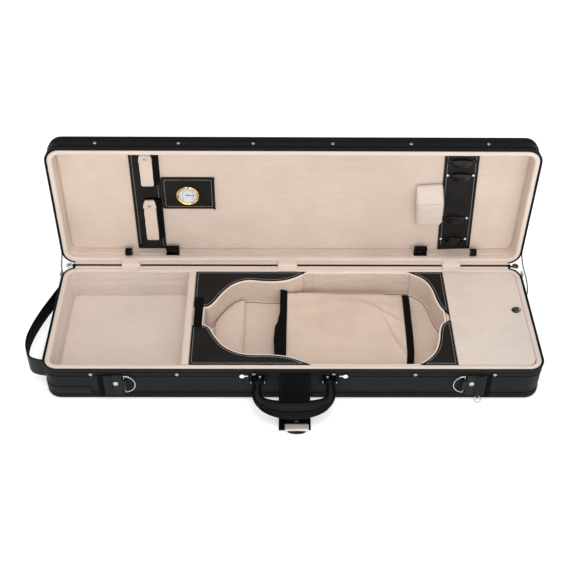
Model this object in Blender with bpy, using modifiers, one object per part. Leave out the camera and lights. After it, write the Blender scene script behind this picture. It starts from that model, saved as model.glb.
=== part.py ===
"""Oblong violin case, open: a padded base tray, a shallow lid on three hinges, and their fittings.

Metres, +Z up, +X to the right seen from the front, origin at the middle of the base's underside.
The lid stands open at a right angle. Its pieces are built in a tray frame of their own, mouth up,
and an empty stands that frame on the hinge line.
"""

import math

import bmesh
import bpy
from mathutils import Matrix, Vector

MM = 0.001

# Driving dimensions of the two trays
LENGTH = 0.790
WIDTH = 0.240
BASE_HEIGHT = 0.068
LID_DEPTH = 0.040
CORNER_RADIUS = 0.025
BOTTOM_RADIUS = 0.005
GAP = 0.0003  # kept between pieces that touch
SEAM_GAP = 0.0015  # between the two rims when the lid is shut
WELD = 0.00001  # points nearer than this are one

# Layers of a tray, from outside to inside: how far each starts in from the outline, and its wall
TAPE_WALL = 0.0012
COVER_INSET = TAPE_WALL + GAP
COVER_WALL = 0.0012
SHELL_INSET = COVER_INSET + COVER_WALL + GAP
SHELL_WALL = 0.0044
LINING_INSET = SHELL_INSET + SHELL_WALL + GAP
LINING_WALL = 0.0033
INNER_INSET = LINING_INSET + LINING_WALL
RIM_INSET = SHELL_INSET
RIM_WIDTH = 0.0085
RIM_THICKNESS = 0.0042
TAPE_HEIGHT = 0.0077
TAPE_DROP = 0.0008  # the zip tape ends this far below the rim
BASE_SHELL_FLOOR = 0.0040
LID_SHELL_FLOOR = 0.0031
BASE_FLOOR_Z = 0.0130  # top of the plush in the base
LID_FLOOR_Z = 0.0150  # the same in the lid's tray frame
LID_INNER_EDGE = 0.0030
EDGE_SEGMENTS = 3
CORNER_SEGMENTS = 6
PADDED_EDGE = 0.0012  # rounding of the edges that are padded over: rims, divider and flap

# The hinge line, behind and just above the base's rear rim
HINGE_Y = WIDTH / 2 + 0.0028
HINGE_Z = BASE_HEIGHT + 0.0008
LID_RIM_Y = HINGE_Y + BASE_HEIGHT + SEAM_GAP - HINGE_Z
LID_MID_Z = HINGE_Z + HINGE_Y
HINGE_XS = {"left": -0.278, "centre": -0.008, "right": 0.2755}
HINGE_LENGTH = 0.032
KNUCKLE_RADIUS = 0.0022
KNUCKLE_HALF = 0.0055
PIN_RADIUS = 0.0009
PIN_BORE_RADIUS = 0.0013
LEAF_THICKNESS = 0.0010
LEAF_REACH = 0.017

# The violin's bay, between two dividers
BAY_LEFT_X = -0.1642
DIVIDER_WIDTH = 0.0135
RIGHT_DIVIDER_X = 0.2525
RIGHT_DIVIDER_WIDTH = 0.0058
BAY_RIGHT_X = 0.2582
INSERT_TOP_Z = 0.0645
PANEL_THICKNESS = 0.0025
PANEL_TOP_Z = INSERT_TOP_Z + GAP + PANEL_THICKNESS
PIPING = 0.0025  # cream edge left showing between a leather panel and the bay
BAY_HALF_WIDTH = 0.1059
BAY_TIP_X = 0.2490
NECK_X = -0.1470
BAY_FLOOR_TOP_Z = 0.0180
PAD_TOP_Z = 0.0300

# The bay's curved edge under each leather panel, in millimetres, from its tip to the bay's end
REAR_LEFT_EDGE = [(25, 108.2), (1, 93), (-21, 86), (-50, 85.5), (-76, 88), (-101, 77.5), (-119, 56),
                  (-131, 35), (-140, 24), (-150, 22.5), (-164.2, 22.5)]
FRONT_LEFT_EDGE = [(27, -108.2), (-6, -93), (-37, -88), (-70, -87.5), (-93, -81.5), (-114, -67),
                   (-129, -44.5), (-138, -27), (-148, -22), (-164.2, -22)]
REAR_RIGHT_EDGE = [(198, 108.2), (215, 99), (228, 87), (237, 67), (242, 40), (248, 20), (258.2, 4)]
FRONT_RIGHT_EDGE = [(198, -108.2), (214, -96), (228, -78), (236, -55), (240, -33), (246, -17),
                    (258.2, -8)]
EDGE_STEPS = 3

# Lid over the right-hand compartment, with its ring pull
FLAP_X = (0.2592, 0.3831)
FLAP_Z = (0.0625, 0.0672)
FLAP_HALF_WIDTH = 0.1081
FLAP_CORNER = 0.0142
PULL_X = 0.3690
PULL_Y = 0.0140
PULL_RADIUS = 0.0065
PULL_THICKNESS = 0.0010
RING_RADIUS = 0.0055
RING_WIRE = 0.0006
STAPLE_RADIUS = 0.0018
STAPLE_WIRE = 0.0006

# Neck strap and blanket
STRAP_X = (-0.1625, -0.1485)
STRAP_Y = (-0.0260, 0.0420)
STRAP_THICKNESS = 0.0018
STRAP_EDGE = 0.0005
BLANKET_OUTLINE = [(-22, -80), (2, -83), (26, -96), (200, -96), (200, 96), (26, 96), (2, 83),
                   (-22, 80)]
BLANKET_THICKNESS = 0.0120
LOWER_PAD = (0.060, 0.190, -0.070, 0.070)
LOWER_PAD_CORNER = 0.030
UPPER_PAD_X = -0.0800
FLOOR_PAD_CLEARANCE = 0.0006
UPPER_PAD_CLEARANCE = 0.0012

# Carrying handle on the front wall
FRONT_Y = -WIDTH / 2 + COVER_INSET  # face of the cover that fittings are fixed to
HANDLE_X = 0.0565
HANDLE_Y = -0.1270
HANDLE_Z = 0.0470
HANDLE_DROOP = math.radians(22)
# Half of the grip, in millimetres: across, out from the pivot, radius
HANDLE_PATH = [(56.5, 0, 6.6), (57, 12, 7.4), (56, 23, 8.0), (49, 34, 9.5), (36, 42, 12), (18, 46.5, 14),
               (0, 47.5, 14.5)]
GRIP_FLATNESS = 0.60
SLEEVE_RADIUS = 0.0042
SLEEVE_LENGTH = 0.0158
SLEEVE_BORE = 0.0019
BRACKET_PIN = 0.0015
BRACKET_SIZE = (0.031, 0.0015, 0.0165)
EAR_X = 0.0095
EAR_SIZE = (0.0018, 0.0105, 0.0085)
LOBE_X = 0.0245
LOBE_Z = 0.0545
LOBE_RADIUS = 0.0042

# Latch strap: its path from the wall to the table, in millimetres (out, up)
LATCH_PATH = [(-119.9, 58.0), (-120.9, 46), (-125, 27), (-133.5, 13.5), (-149, 5.6), (-168, 3.2),
              (-186.0, 2.3)]
LATCH_THICKNESS = 0.0024
LATCH_X = (-0.0235, 0.0265)
LATCH_HINGE = (sum(LATCH_X) / 2, -0.1199, 0.0580)
CATCH_X = (-0.0140, 0.0230)
CATCH_Y = (-0.1910, -0.1750)
CATCH_Z = (0.0049, 0.0088)
CATCH_GROOVE = 0.0016
CATCH_GROOVE_PLACE = 0.6  # share of the catch's depth, from its near edge

# Strap rings on the front wall
TAB_X = {"left": (-0.299, -0.270), "right": (0.273, 0.304)}
TAB_Z = (0.0105, 0.0560)
TAB_THICKNESS = 0.0025
DRING_BAR_GAP = 0.0040  # from a tab's end to the ring's bar
DRING_Z = 0.0370
DRING_HALF = 0.0180
DRING_REACH = 0.0165
DRING_WIRE = 0.0010
DRING_SLEEVE = 0.0034
DRING_SLEEVE_BORE = 0.0017
DRING_SLEEVE_HALF = 0.0100
DRING_Y = FRONT_Y - GAP - DRING_SLEEVE
SMALL_RING_X = 0.294
SMALL_RING_RADIUS = 0.0052
SMALL_RING_WIRE = 0.0006
SMALL_RING_TOP_Z = 0.0078
SMALL_RING_LEAN = math.radians(55)  # at rest it leans out from the wall by this much
SMALL_LOOP = (0.0024, 0.0040, 0.0068)
SMALL_LOOP_BORE = 0.0013

# Webbing handle on the left end, in millimetres in plan
END_STRAP_PATH = [(-395.6, 99), (-403, 80), (-417, 42), (-428, 6), (-433.5, -25), (-432.5, -48),
                  (-427, -66)]
END_TAB_PATH = [(-426.3, -68), (-421, -76.5), (-410, -82), (-396.2, -84.5)]
END_STRAP_THICKNESS = 0.0026
END_TAB_THICKNESS = 0.0036
END_STRAP_Z = (0.0210, 0.0500)
END_TAB_Z = (0.0160, 0.0505)

# Zip sliders at the rear corners
SLIDER_SIZE = (0.0040, 0.0120, 0.0085)
SLIDER_EDGE = 0.0008
SLIDER_Y = 0.1060
SLIDER_Z = 0.0635

# Lid fittings, in the lid's tray frame (x, then y up the open lid, then z towards its mouth)
POCKET_THICKNESS = 0.0082
POCKET_INSET = 0.0080
POCKET_EDGE = 0.0025
STRIP_THICKNESS = 0.0016
STRIP_HALF_LENGTH = 0.1050
LEFT_STRIP_X = (-0.2660, -0.2175)
RIGHT_STRIP_X = (0.2478, 0.3037)
RIGHT_TILT = math.radians(2.5)  # the right strip and its cushion lean this far to the left
HOLDERS = {"upper": (0.0360, 0.1000), "lower": (-0.0790, 0.0060)}
HOLDER_X = (-0.2465, -0.2205)
HOLDER_THICKNESS = 0.0050
PLATE_CORNER = 0.0030  # corners of the holders, the toggles and the hygrometer's plate
TOGGLE_X = (-0.2490, -0.2270)
TOGGLE_THICKNESS = 0.0060
TOGGLE_EDGE = 0.0015
TOGGLE_PIVOT_DROP = 0.0090  # from the toggle's upper end down to its screw
PLATE_X = (-0.2172, -0.1295)
PLATE_Y = (-0.0170, 0.0480)
DIAL_X = -0.1740
DIAL_Y = 0.0135
# Turned section of the hygrometer's case, in millimetres: radius, height
CASE_PROFILE = [(0, 1.5), (15.5, 1.5), (15.5, 4.4), (17.2, 5.2), (18.6, 4.4), (19, 2.6), (19, 0), (0, 0)]
CASE_STEPS = 32
NEEDLE_RADIUS = 0.0012
NEEDLE_LENGTH = 0.0200
NEEDLE_WIDTH = 0.0009
NEEDLE_THICKNESS = 0.0006
CUSHION_X = (0.2020, 0.2473)
# Side of the roof-shaped cushion, in millimetres (y, height over the lid's floor)
CUSHION_SIDE = [(-53, 0), (-53, 8), (0, 22), (39, 8), (39, 0)]
TUBE_Y = -0.1020
TUBE_Z = 0.0290
TUBE_X = (-0.2870, 0.3180)
TUBE_RADIUS = 0.0046
CAP_RADIUS = 0.0064
CAP_LENGTH = 0.0110
CLIP_XS = {"left": (-0.2170, -0.1950), "right": (0.2110, 0.2330)}
CLIP_JAW = 0.0035  # over the tube
CLIP_DEPTH = 0.0065  # behind the tube's axis
CLIP_GRIP = 0.0020  # in front of it

# Colours: name, (red, green, blue), roughness, metallic
COLOURS = {
    "black_nylon": ((0.016, 0.016, 0.019), 0.85, 0.0),
    "zip_black": ((0.008, 0.008, 0.009), 0.80, 0.0),
    "plywood": ((0.42, 0.29, 0.17), 0.70, 0.0),
    "cream_plush": ((0.71, 0.57, 0.48), 0.95, 0.0),
    "cream_rim": ((0.77, 0.66, 0.57), 0.90, 0.0),
    "blanket_cloth": ((0.66, 0.50, 0.41), 0.90, 0.0),
    "black_leather": ((0.014, 0.013, 0.013), 0.45, 0.0),
    "black_velcro": ((0.006, 0.006, 0.007), 0.95, 0.0),
    "moulded_black": ((0.012, 0.012, 0.015), 0.40, 0.0),
    "webbing": ((0.007, 0.007, 0.008), 0.90, 0.0),
    "chrome": ((0.80, 0.80, 0.82), 0.15, 1.0),
    "steel": ((0.55, 0.55, 0.56), 0.30, 1.0),
    "gold": ((0.78, 0.56, 0.22), 0.20, 1.0),
    "clear_tube": ((0.85, 0.86, 0.88), 0.08, 0.0),
    "needle_black": ((0.02, 0.02, 0.02), 0.50, 0.0),
}


# ---------------------------------------------------------------- scene, materials and helpers

def clear_scene():
    for obj in list(bpy.data.objects):
        bpy.data.objects.remove(obj, do_unlink=True)


def make_collection(name):
    collection = bpy.data.collections.new(name)
    bpy.context.scene.collection.children.link(collection)
    return collection


def make_material(name):
    colour, roughness, metallic = COLOURS[name]
    material = bpy.data.materials.new(name)
    material.use_nodes = True
    shader = material.node_tree.nodes["Principled BSDF"]
    shader.inputs["Base Color"].default_value = (*colour, 1.0)
    shader.inputs["Roughness"].default_value = roughness
    shader.inputs["Metallic"].default_value = metallic
    return material


clear_scene()
CASE = make_collection("violin_case")
CUTTERS = make_collection("cutters")
MATERIALS = {name: make_material(name) for name in COLOURS}


def make_empty(name, location, rotation=(0, 0, 0)):
    empty = bpy.data.objects.new(name, None)
    empty.location = location
    empty.rotation_euler = rotation
    CASE.objects.link(empty)
    return empty


# The lid's tray frame: its mouth faces forwards and its hinge side is at the bottom
LID_FRAME = make_empty("lid_frame", (0, LID_RIM_Y + LID_DEPTH, LID_MID_Z), (math.pi / 2, 0, 0))


def finish(obj, colour, parent=None, smooth_angle=35):
    """Puts an object in the case's collection with its material and soft shading."""
    obj.data.materials.clear()
    obj.data.materials.append(MATERIALS[colour])
    if obj.name not in CASE.objects:
        CASE.objects.link(obj)
    obj.parent = parent
    if obj.type == "MESH":
        obj.data.shade_smooth()
        obj.data.set_sharp_from_angle(angle=math.radians(smooth_angle))
    return obj


def mesh_object(name, bm):
    mesh = bpy.data.meshes.new(name)
    bmesh.ops.recalc_face_normals(bm, faces=bm.faces)
    bm.to_mesh(mesh)
    bm.free()
    return bpy.data.objects.new(name, mesh)


def cube_bmesh(low, high):
    """A box between two corners, as a bmesh."""
    bm = bmesh.new()
    size = Vector(high) - Vector(low)
    middle = (Vector(high) + Vector(low)) / 2
    bmesh.ops.create_cube(bm, size=1.0, matrix=Matrix.Translation(middle) @ Matrix.Diagonal((*size, 1)))
    return bm


def upright_edges(bm):
    return [e for e in bm.edges if abs(e.verts[0].co.z - e.verts[1].co.z) > 1e-5
            and (e.verts[0].co.xy - e.verts[1].co.xy).length < 1e-6]


def edges_at(bm, z):
    """Edges of the flat face at a height."""
    return [e for e in bm.edges if all(abs(v.co.z - z) < 1e-6 for v in e.verts)
            and len(e.link_faces) == 2
            and any(abs(f.normal.z) < 0.5 for f in e.link_faces)]


def bevel(bm, edges, width, segments):
    bmesh.ops.bevel(bm, geom=edges, offset=width, segments=segments, affect="EDGES", profile=0.5)
    bm.normal_update()


def box(name, low, high, corner=0.0, soft=0.0, segments=4, soft_segments=2):
    """A block with rounded upright corners and, if asked, rounded top and bottom edges."""
    bm = cube_bmesh(low, high)
    if corner:
        bevel(bm, upright_edges(bm), corner, segments)
    if soft:
        bm.normal_update()
        bevel(bm, edges_at(bm, high[2]) + edges_at(bm, low[2]), soft, soft_segments)
    return mesh_object(name, bm)


def tray_box(inset, z0, z1, radius):
    """A solid of the case's outline, set in by a distance, with rounded corners."""
    half_x = LENGTH / 2 - inset
    half_y = WIDTH / 2 - inset
    bm = cube_bmesh((-half_x, -half_y, z0), (half_x, half_y, z1))
    bevel(bm, upright_edges(bm), radius, CORNER_SEGMENTS)
    return bm


def tub(name, inset, wall, z0, z1, floor_z, outer_edge, inner_edge):
    """An open tray: a rounded block whose top face is set in by the wall and pressed down."""
    bm = tray_box(inset, z0, z1, CORNER_RADIUS - inset)
    bevel(bm, edges_at(bm, z0), outer_edge, EDGE_SEGMENTS)
    top = [f for f in bm.faces if f.normal.z > 0.9 and f.calc_center_median().z > z1 - 1e-5]
    bmesh.ops.inset_region(bm, faces=top, thickness=wall, use_even_offset=True)
    pressed = bmesh.ops.extrude_face_region(bm, geom=top)
    floor = [v for v in pressed["geom"] if isinstance(v, bmesh.types.BMVert)]
    bmesh.ops.delete(bm, geom=top, context="FACES_ONLY")
    bmesh.ops.translate(bm, verts=floor, vec=(0, 0, floor_z - z1))
    bm.normal_update()
    if inner_edge:
        bevel(bm, edges_at(bm, floor_z), inner_edge, EDGE_SEGMENTS)
    return mesh_object(name, bm)


def band(name, inset, width, z0, z1, soft=0.0):
    """A flat ring that follows the case's outline, as an open wall with thickness."""
    bm = tray_box(inset, z0, z1, CORNER_RADIUS - inset)
    caps = [f for f in bm.faces if abs(f.normal.z) > 0.9]
    bmesh.ops.delete(bm, geom=caps, context="FACES_ONLY")
    obj = mesh_object(name, bm)
    solidify = obj.modifiers.new("Thickness", "SOLIDIFY")
    solidify.thickness = width
    solidify.offset = -1
    solidify.use_even_offset = True
    if soft:
        rounding = obj.modifiers.new("Rounding", "BEVEL")
        rounding.width = soft
        rounding.segments = 2
        rounding.limit_method = "ANGLE"
        rounding.angle_limit = math.radians(60)
    return obj


def smooth_points(points, steps):
    """Points on one smooth curve (Catmull-Rom) through the given ones, of any dimension."""
    points = [Vector(p) for p in points]
    padded = [2 * points[0] - points[1], *points, 2 * points[-1] - points[-2]]
    curve = []
    for i in range(1, len(padded) - 2):
        a, b, c, d = padded[i - 1:i + 3]
        for k in range(steps):
            t = k / steps
            curve.append(0.5 * (2 * b + (c - a) * t + (2 * a - 5 * b + 4 * c - d) * t ** 2
                                + (3 * b - a - 3 * c + d) * t ** 3))
    curve.append(points[-1])
    return curve


def shifted(points, distance):
    """An open plan curve moved sideways, to its left, by a distance."""
    result = []
    for i, point in enumerate(points):
        along = points[min(i + 1, len(points) - 1)] - points[max(i - 1, 0)]
        along.normalize()
        result.append(point + Vector((-along.y, along.x)) * distance)
    return result


def plan_curve(points_mm, steps=EDGE_STEPS):
    return smooth_points([Vector(p) * MM for p in points_mm], steps)


# Stands a flat outline up: its x and y become y and z, and its thickness runs along x
STAND = Matrix(((0, 0, 1, 0), (1, 0, 0, 0), (0, 1, 0, 0), (0, 0, 0, 1)))
RIGHT_MIDDLE = Vector((sum(RIGHT_STRIP_X) / 2, 0, 0))
RIGHT_LEAN = (Matrix.Translation(RIGHT_MIDDLE) @ Matrix.Rotation(RIGHT_TILT, 4, "Z")
              @ Matrix.Translation(-RIGHT_MIDDLE))


def ribbon(path, thickness):
    """The closed outline of a strap of even thickness along a plan path."""
    return shifted(path, thickness / 2) + shifted(path, -thickness / 2)[::-1]


def outline_object(name, loops, z0, z1):
    """A flat outline, holes included, with thickness between two heights."""
    curve = bpy.data.curves.new(name, "CURVE")
    curve.dimensions = "2D"
    curve.fill_mode = "BOTH"
    curve.extrude = (z1 - z0) / 2
    for loop in loops:
        spline = curve.splines.new("POLY")
        spline.points.add(len(loop) - 1)
        spline.use_cyclic_u = True
        for point, co in zip(spline.points, loop):
            point.co = (co[0], co[1], 0, 1)
    obj = bpy.data.objects.new(name, curve)
    obj.location = (0, 0, (z0 + z1) / 2)
    return obj


def wire(name, points, radius, cyclic=False, radii=None, resolution=2):
    """A round wire or tube along points, as a curve with filled caps."""
    curve = bpy.data.curves.new(name, "CURVE")
    curve.dimensions = "3D"
    curve.bevel_depth = radius
    curve.bevel_resolution = resolution
    curve.use_fill_caps = not cyclic
    spline = curve.splines.new("POLY")
    spline.points.add(len(points) - 1)
    spline.use_cyclic_u = cyclic
    for i, (point, co) in enumerate(zip(spline.points, points)):
        point.co = (*co, 1)
        point.radius = radii[i] / radius if radii else 1.0
    return bpy.data.objects.new(name, curve)


def as_mesh(obj, flatten=None):
    """Turns a curve object into a welded mesh object of the same name and place."""
    bpy.context.scene.collection.objects.link(obj)
    bpy.context.view_layer.update()
    evaluated = obj.evaluated_get(bpy.context.evaluated_depsgraph_get())
    mesh = bpy.data.meshes.new_from_object(evaluated)
    bm = bmesh.new()
    bm.from_mesh(mesh)
    bmesh.ops.remove_doubles(bm, verts=bm.verts, dist=WELD)
    if flatten:
        bmesh.ops.scale(bm, verts=bm.verts, vec=flatten)
    bmesh.ops.recalc_face_normals(bm, faces=bm.faces)
    bm.to_mesh(mesh)
    bm.free()
    name = obj.name
    solid = bpy.data.objects.new(name + "_solid", mesh)
    solid.matrix_world = obj.matrix_world.copy()
    bpy.data.objects.remove(obj, do_unlink=True)
    solid.name = name
    return solid


def rod(name, centre, axis, radius, length, segments=16):
    """A cylinder with its middle at a point and its length along a world axis."""
    bm = bmesh.new()
    turn = Vector((0, 0, 1)).rotation_difference(Vector(axis)).to_matrix().to_4x4()
    bmesh.ops.create_cone(bm, cap_ends=True, segments=segments, radius1=radius, radius2=radius,
                          depth=length, matrix=Matrix.Translation(centre) @ turn)
    return mesh_object(name, bm)


def combine(obj, other, operation):
    """Joins or cuts an object with another, which stays as a hidden cutter."""
    if other.name not in CUTTERS.objects:
        CUTTERS.objects.link(other)
    other.hide_render = True
    other.display_type = "WIRE"
    other.parent = obj.parent
    step = obj.modifiers.new(other.name, "BOOLEAN")
    step.operation = operation
    step.solver = "EXACT"
    step.object = other
    return obj


def join(obj, *others):
    for other in others:
        combine(obj, other, "UNION")
    return obj


def cut(obj, *others):
    for other in others:
        combine(obj, other, "DIFFERENCE")
    return obj


# ---------------------------------------------------------------- the two trays

def make_tray(prefix, height, shell_floor, floor_z, inner_edge, parent):
    """Zip tape, fabric cover, shell, rim and plush lining of the base or the lid."""
    rim_z = height - RIM_THICKNESS
    inner_top = rim_z - GAP
    shell_z = COVER_WALL + GAP
    lining_z = shell_z + shell_floor + GAP
    cover = tub(prefix + "_cover", COVER_INSET, COVER_WALL, 0, height - TAPE_DROP, COVER_WALL,
                BOTTOM_RADIUS, BOTTOM_RADIUS - COVER_WALL)
    finish(cover, "black_nylon", parent)
    shell_edge = BOTTOM_RADIUS - COVER_WALL - GAP
    shell = tub(prefix + "_shell", SHELL_INSET, SHELL_WALL, shell_z, inner_top, shell_z + shell_floor,
                shell_edge, shell_edge - SHELL_WALL)
    finish(shell, "plywood", parent)
    lining = tub(prefix + "_lining", LINING_INSET, LINING_WALL, lining_z, inner_top, floor_z,
                 shell_edge - SHELL_WALL, inner_edge)
    finish(lining, "cream_plush", parent)
    rim = band(prefix + "_rim", RIM_INSET, RIM_WIDTH, rim_z, height, soft=PADDED_EDGE)
    finish(rim, "cream_rim", parent)
    tape_top = height - TAPE_DROP
    tape = band(prefix + "_zip_tape", 0, TAPE_WALL, tape_top - TAPE_HEIGHT, tape_top)
    finish(tape, "zip_black", parent)


def make_hinges():
    """Three hinges: a leaf with two knuckles on the base, a leaf with one knuckle and pin on the lid."""
    for side, x in HINGE_XS.items():
        finish(hinge_leaf(f"hinge_{side}_base_leaf", x, on_lid=False), "steel")
        finish(hinge_leaf(f"hinge_{side}_lid_leaf", x, on_lid=True), "steel")


def hinge_leaf(name, x, on_lid):
    half = HINGE_LENGTH / 2
    plate_out = HINGE_Y - WIDTH / 2 - GAP  # from the hinge line in to the plate's near side
    back = HINGE_Y - plate_out
    knuckle_y = back + LEAF_THICKNESS
    if on_lid:
        spans = [(-KNUCKLE_HALF + GAP, KNUCKLE_HALF - GAP)]
        plate_z = HINGE_Z + plate_out - LEAF_THICKNESS
        plate = box(name, (x - half, HINGE_Y + KNUCKLE_RADIUS, plate_z),
                    (x + half, HINGE_Y + LEAF_REACH, plate_z + LEAF_THICKNESS))
        webs = [box(f"{name}_web_{i}", (x + a, HINGE_Y, plate_z),
                    (x + b, HINGE_Y + KNUCKLE_RADIUS + LEAF_THICKNESS, plate_z + LEAF_THICKNESS))
                for i, (a, b) in enumerate(spans)]
    else:
        spans = [(-half, -KNUCKLE_HALF), (KNUCKLE_HALF, half)]
        plate = box(name, (x - half, back, HINGE_Z - LEAF_REACH),
                    (x + half, knuckle_y, HINGE_Z - KNUCKLE_RADIUS))
        webs = [box(f"{name}_web_{i}", (x + a, back, HINGE_Z - KNUCKLE_RADIUS - LEAF_THICKNESS),
                    (x + b, knuckle_y, HINGE_Z))
                for i, (a, b) in enumerate(spans)]
    knuckles = [rod(f"{name}_knuckle_{i}", (x + (a + b) / 2, HINGE_Y, HINGE_Z), (1, 0, 0),
                    KNUCKLE_RADIUS, b - a) for i, (a, b) in enumerate(spans)]
    join(plate, *webs, *knuckles)
    if on_lid:
        return join(plate, rod(name + "_pin", (x, HINGE_Y, HINGE_Z), (1, 0, 0), PIN_RADIUS,
                               HINGE_LENGTH, segments=12))
    return cut(plate, rod(name + "_bore", (x, HINGE_Y, HINGE_Z), (1, 0, 0), PIN_BORE_RADIUS,
                          HINGE_LENGTH + 2 * LEAF_THICKNESS, segments=12))


# ---------------------------------------------------------------- the violin's bay

def bay_edges():
    """The four curved panel edges, each from its tip to the bay's end."""
    return [plan_curve(edge) for edge in
            (REAR_LEFT_EDGE, FRONT_LEFT_EDGE, REAR_RIGHT_EDGE, FRONT_RIGHT_EDGE)]


def bay_outline(clearance=0.0):
    """The bay's own outline, inside the panels by the width of the piping."""
    rear_left, front_left, rear_right, front_right = bay_edges()
    inward = PIPING + clearance
    corners = [shifted(front_right, inward), shifted(rear_right[::-1], inward),
               shifted(rear_left, inward), shifted(front_left[::-1], inward)]
    half_width = BAY_HALF_WIDTH - clearance
    loop = []
    for corner in corners:
        for point in corner:
            point.x = min(max(point.x, NECK_X + clearance), BAY_TIP_X - clearance)
            point.y = min(max(point.y, -half_width), half_width)
            if not loop or (point - loop[-1]).length > MM:
                loop.append(point)
    return loop


def make_dividers():
    side = WIDTH / 2 - RIM_INSET - RIM_WIDTH - GAP
    floor = BASE_FLOOR_Z + GAP
    left = box("divider_left", (BAY_LEFT_X - GAP - DIVIDER_WIDTH, -side, floor),
               (BAY_LEFT_X - GAP, side, BASE_HEIGHT - GAP), soft=PADDED_EDGE)
    finish(left, "cream_rim")
    right = box("divider_right", (RIGHT_DIVIDER_X, -side, floor),
                (RIGHT_DIVIDER_X + RIGHT_DIVIDER_WIDTH, side, INSERT_TOP_Z))
    finish(right, "cream_plush")


def make_bay_insert():
    """The foam insert round the bay, its floor pad and the two pads that carry the violin."""
    side = WIDTH / 2 - INNER_INSET - GAP
    right = RIGHT_DIVIDER_X - GAP
    frame = [(BAY_LEFT_X, -side), (right, -side), (right, side), (BAY_LEFT_X, side)]
    floor = BASE_FLOOR_Z + GAP
    insert = outline_object("bay_insert", [frame, bay_outline()], floor, INSERT_TOP_Z)
    finish(insert, "cream_plush")
    pad_loop = bay_outline(clearance=FLOOR_PAD_CLEARANCE)
    finish(outline_object("bay_floor_pad", [pad_loop], floor, BAY_FLOOR_TOP_Z), "cream_plush")
    neck_end = [p for p in bay_outline(clearance=UPPER_PAD_CLEARANCE) if p.x < UPPER_PAD_X]
    first, last = neck_end[0], neck_end[-1]
    neck_end = [Vector((UPPER_PAD_X, first.y)), *neck_end, Vector((UPPER_PAD_X, last.y))]
    upper = outline_object("upper_bout_pad", [neck_end], BAY_FLOOR_TOP_Z + GAP, PAD_TOP_Z)
    finish(upper, "cream_plush")
    x0, x1, y0, y1 = LOWER_PAD
    lower = box("lower_bout_pad", (x0, y0, BAY_FLOOR_TOP_Z + GAP), (x1, y1, PAD_TOP_Z),
                corner=LOWER_PAD_CORNER)
    finish(lower, "cream_plush")


def make_panels():
    """Four leather panels over the insert, each cut to the bay's curve."""
    side = WIDTH / 2 - RIM_INSET - RIM_WIDTH - GAP
    names = ("panel_rear_left", "panel_front_left", "panel_rear_right", "panel_front_right")
    for name, edge in zip(names, bay_edges()):
        end_x = BAY_LEFT_X if "left" in name else BAY_RIGHT_X
        end_y = side if "rear" in name else -side
        for point in edge:
            point.y = min(max(point.y, -side), side)
        panel = outline_object(name, [[*edge, Vector((end_x, end_y))]], INSERT_TOP_Z + GAP, PANEL_TOP_Z)
        finish(panel, "black_leather")


def make_blanket():
    loop = [Vector(p) * MM for p in BLANKET_OUTLINE]
    bottom = PAD_TOP_Z + GAP
    blanket = outline_object("blanket", [loop], bottom, bottom + BLANKET_THICKNESS)
    finish(blanket, "blanket_cloth")


def make_neck_strap():
    bottom = PANEL_TOP_Z + GAP
    pivot = make_empty("neck_strap_pivot", (0, STRAP_Y[1], bottom))
    strap = box("neck_strap", (STRAP_X[0], STRAP_Y[0] - STRAP_Y[1], 0), (STRAP_X[1], 0, STRAP_THICKNESS),
                soft=STRAP_EDGE)
    finish(strap, "black_velcro", pivot)


def make_accessory_lid():
    """The padded board over the right-hand compartment, hinged at its left edge, with a ring pull."""
    pivot = make_empty("accessory_lid_pivot", (FLAP_X[0] - GAP / 2, 0, FLAP_Z[1] + GAP))
    top = -GAP
    bm = cube_bmesh((GAP / 2, -FLAP_HALF_WIDTH, FLAP_Z[0] - FLAP_Z[1] - GAP),
                    (FLAP_X[1] - pivot.location.x, FLAP_HALF_WIDTH, top))
    outer = [e for e in upright_edges(bm) if e.verts[0].co.x > FLAP_X[1] - FLAP_X[0] - MM]
    bevel(bm, outer, FLAP_CORNER, 4)
    bevel(bm, edges_at(bm, top), PADDED_EDGE, 2)
    finish(mesh_object("accessory_lid", bm), "cream_plush", pivot)

    plate_z = FLAP_Z[1] + GAP
    ring_z = plate_z + PULL_THICKNESS + STAPLE_RADIUS - STAPLE_WIRE - GAP
    plate = rod("pull_plate", (PULL_X, PULL_Y, plate_z + PULL_THICKNESS / 2), (0, 0, 1), PULL_RADIUS,
                PULL_THICKNESS, segments=20)
    staple_x = PULL_X - RING_RADIUS / 2
    arch = [(staple_x + STAPLE_RADIUS * math.cos(a), PULL_Y, ring_z + STAPLE_RADIUS * math.sin(a))
            for a in [math.pi * k / 6 for k in range(7)]]
    foot = plate_z + PULL_THICKNESS / 2
    arch = [(arch[0][0], PULL_Y, foot), *arch, (arch[-1][0], PULL_Y, foot)]
    staple = as_mesh(wire("pull_staple", arch, STAPLE_WIRE))
    finish(join(plate, staple), "chrome")
    ring_pivot = make_empty("pull_ring_pivot", (staple_x, PULL_Y, ring_z))
    loop = [(RING_RADIUS * (1 - math.cos(a)), RING_RADIUS * math.sin(a), 0)
            for a in [math.tau * k / 20 for k in range(20)]]
    finish(as_mesh(wire("pull_ring", loop, RING_WIRE, cyclic=True)), "chrome", ring_pivot)


# ---------------------------------------------------------------- fittings on the outside of the base

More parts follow.
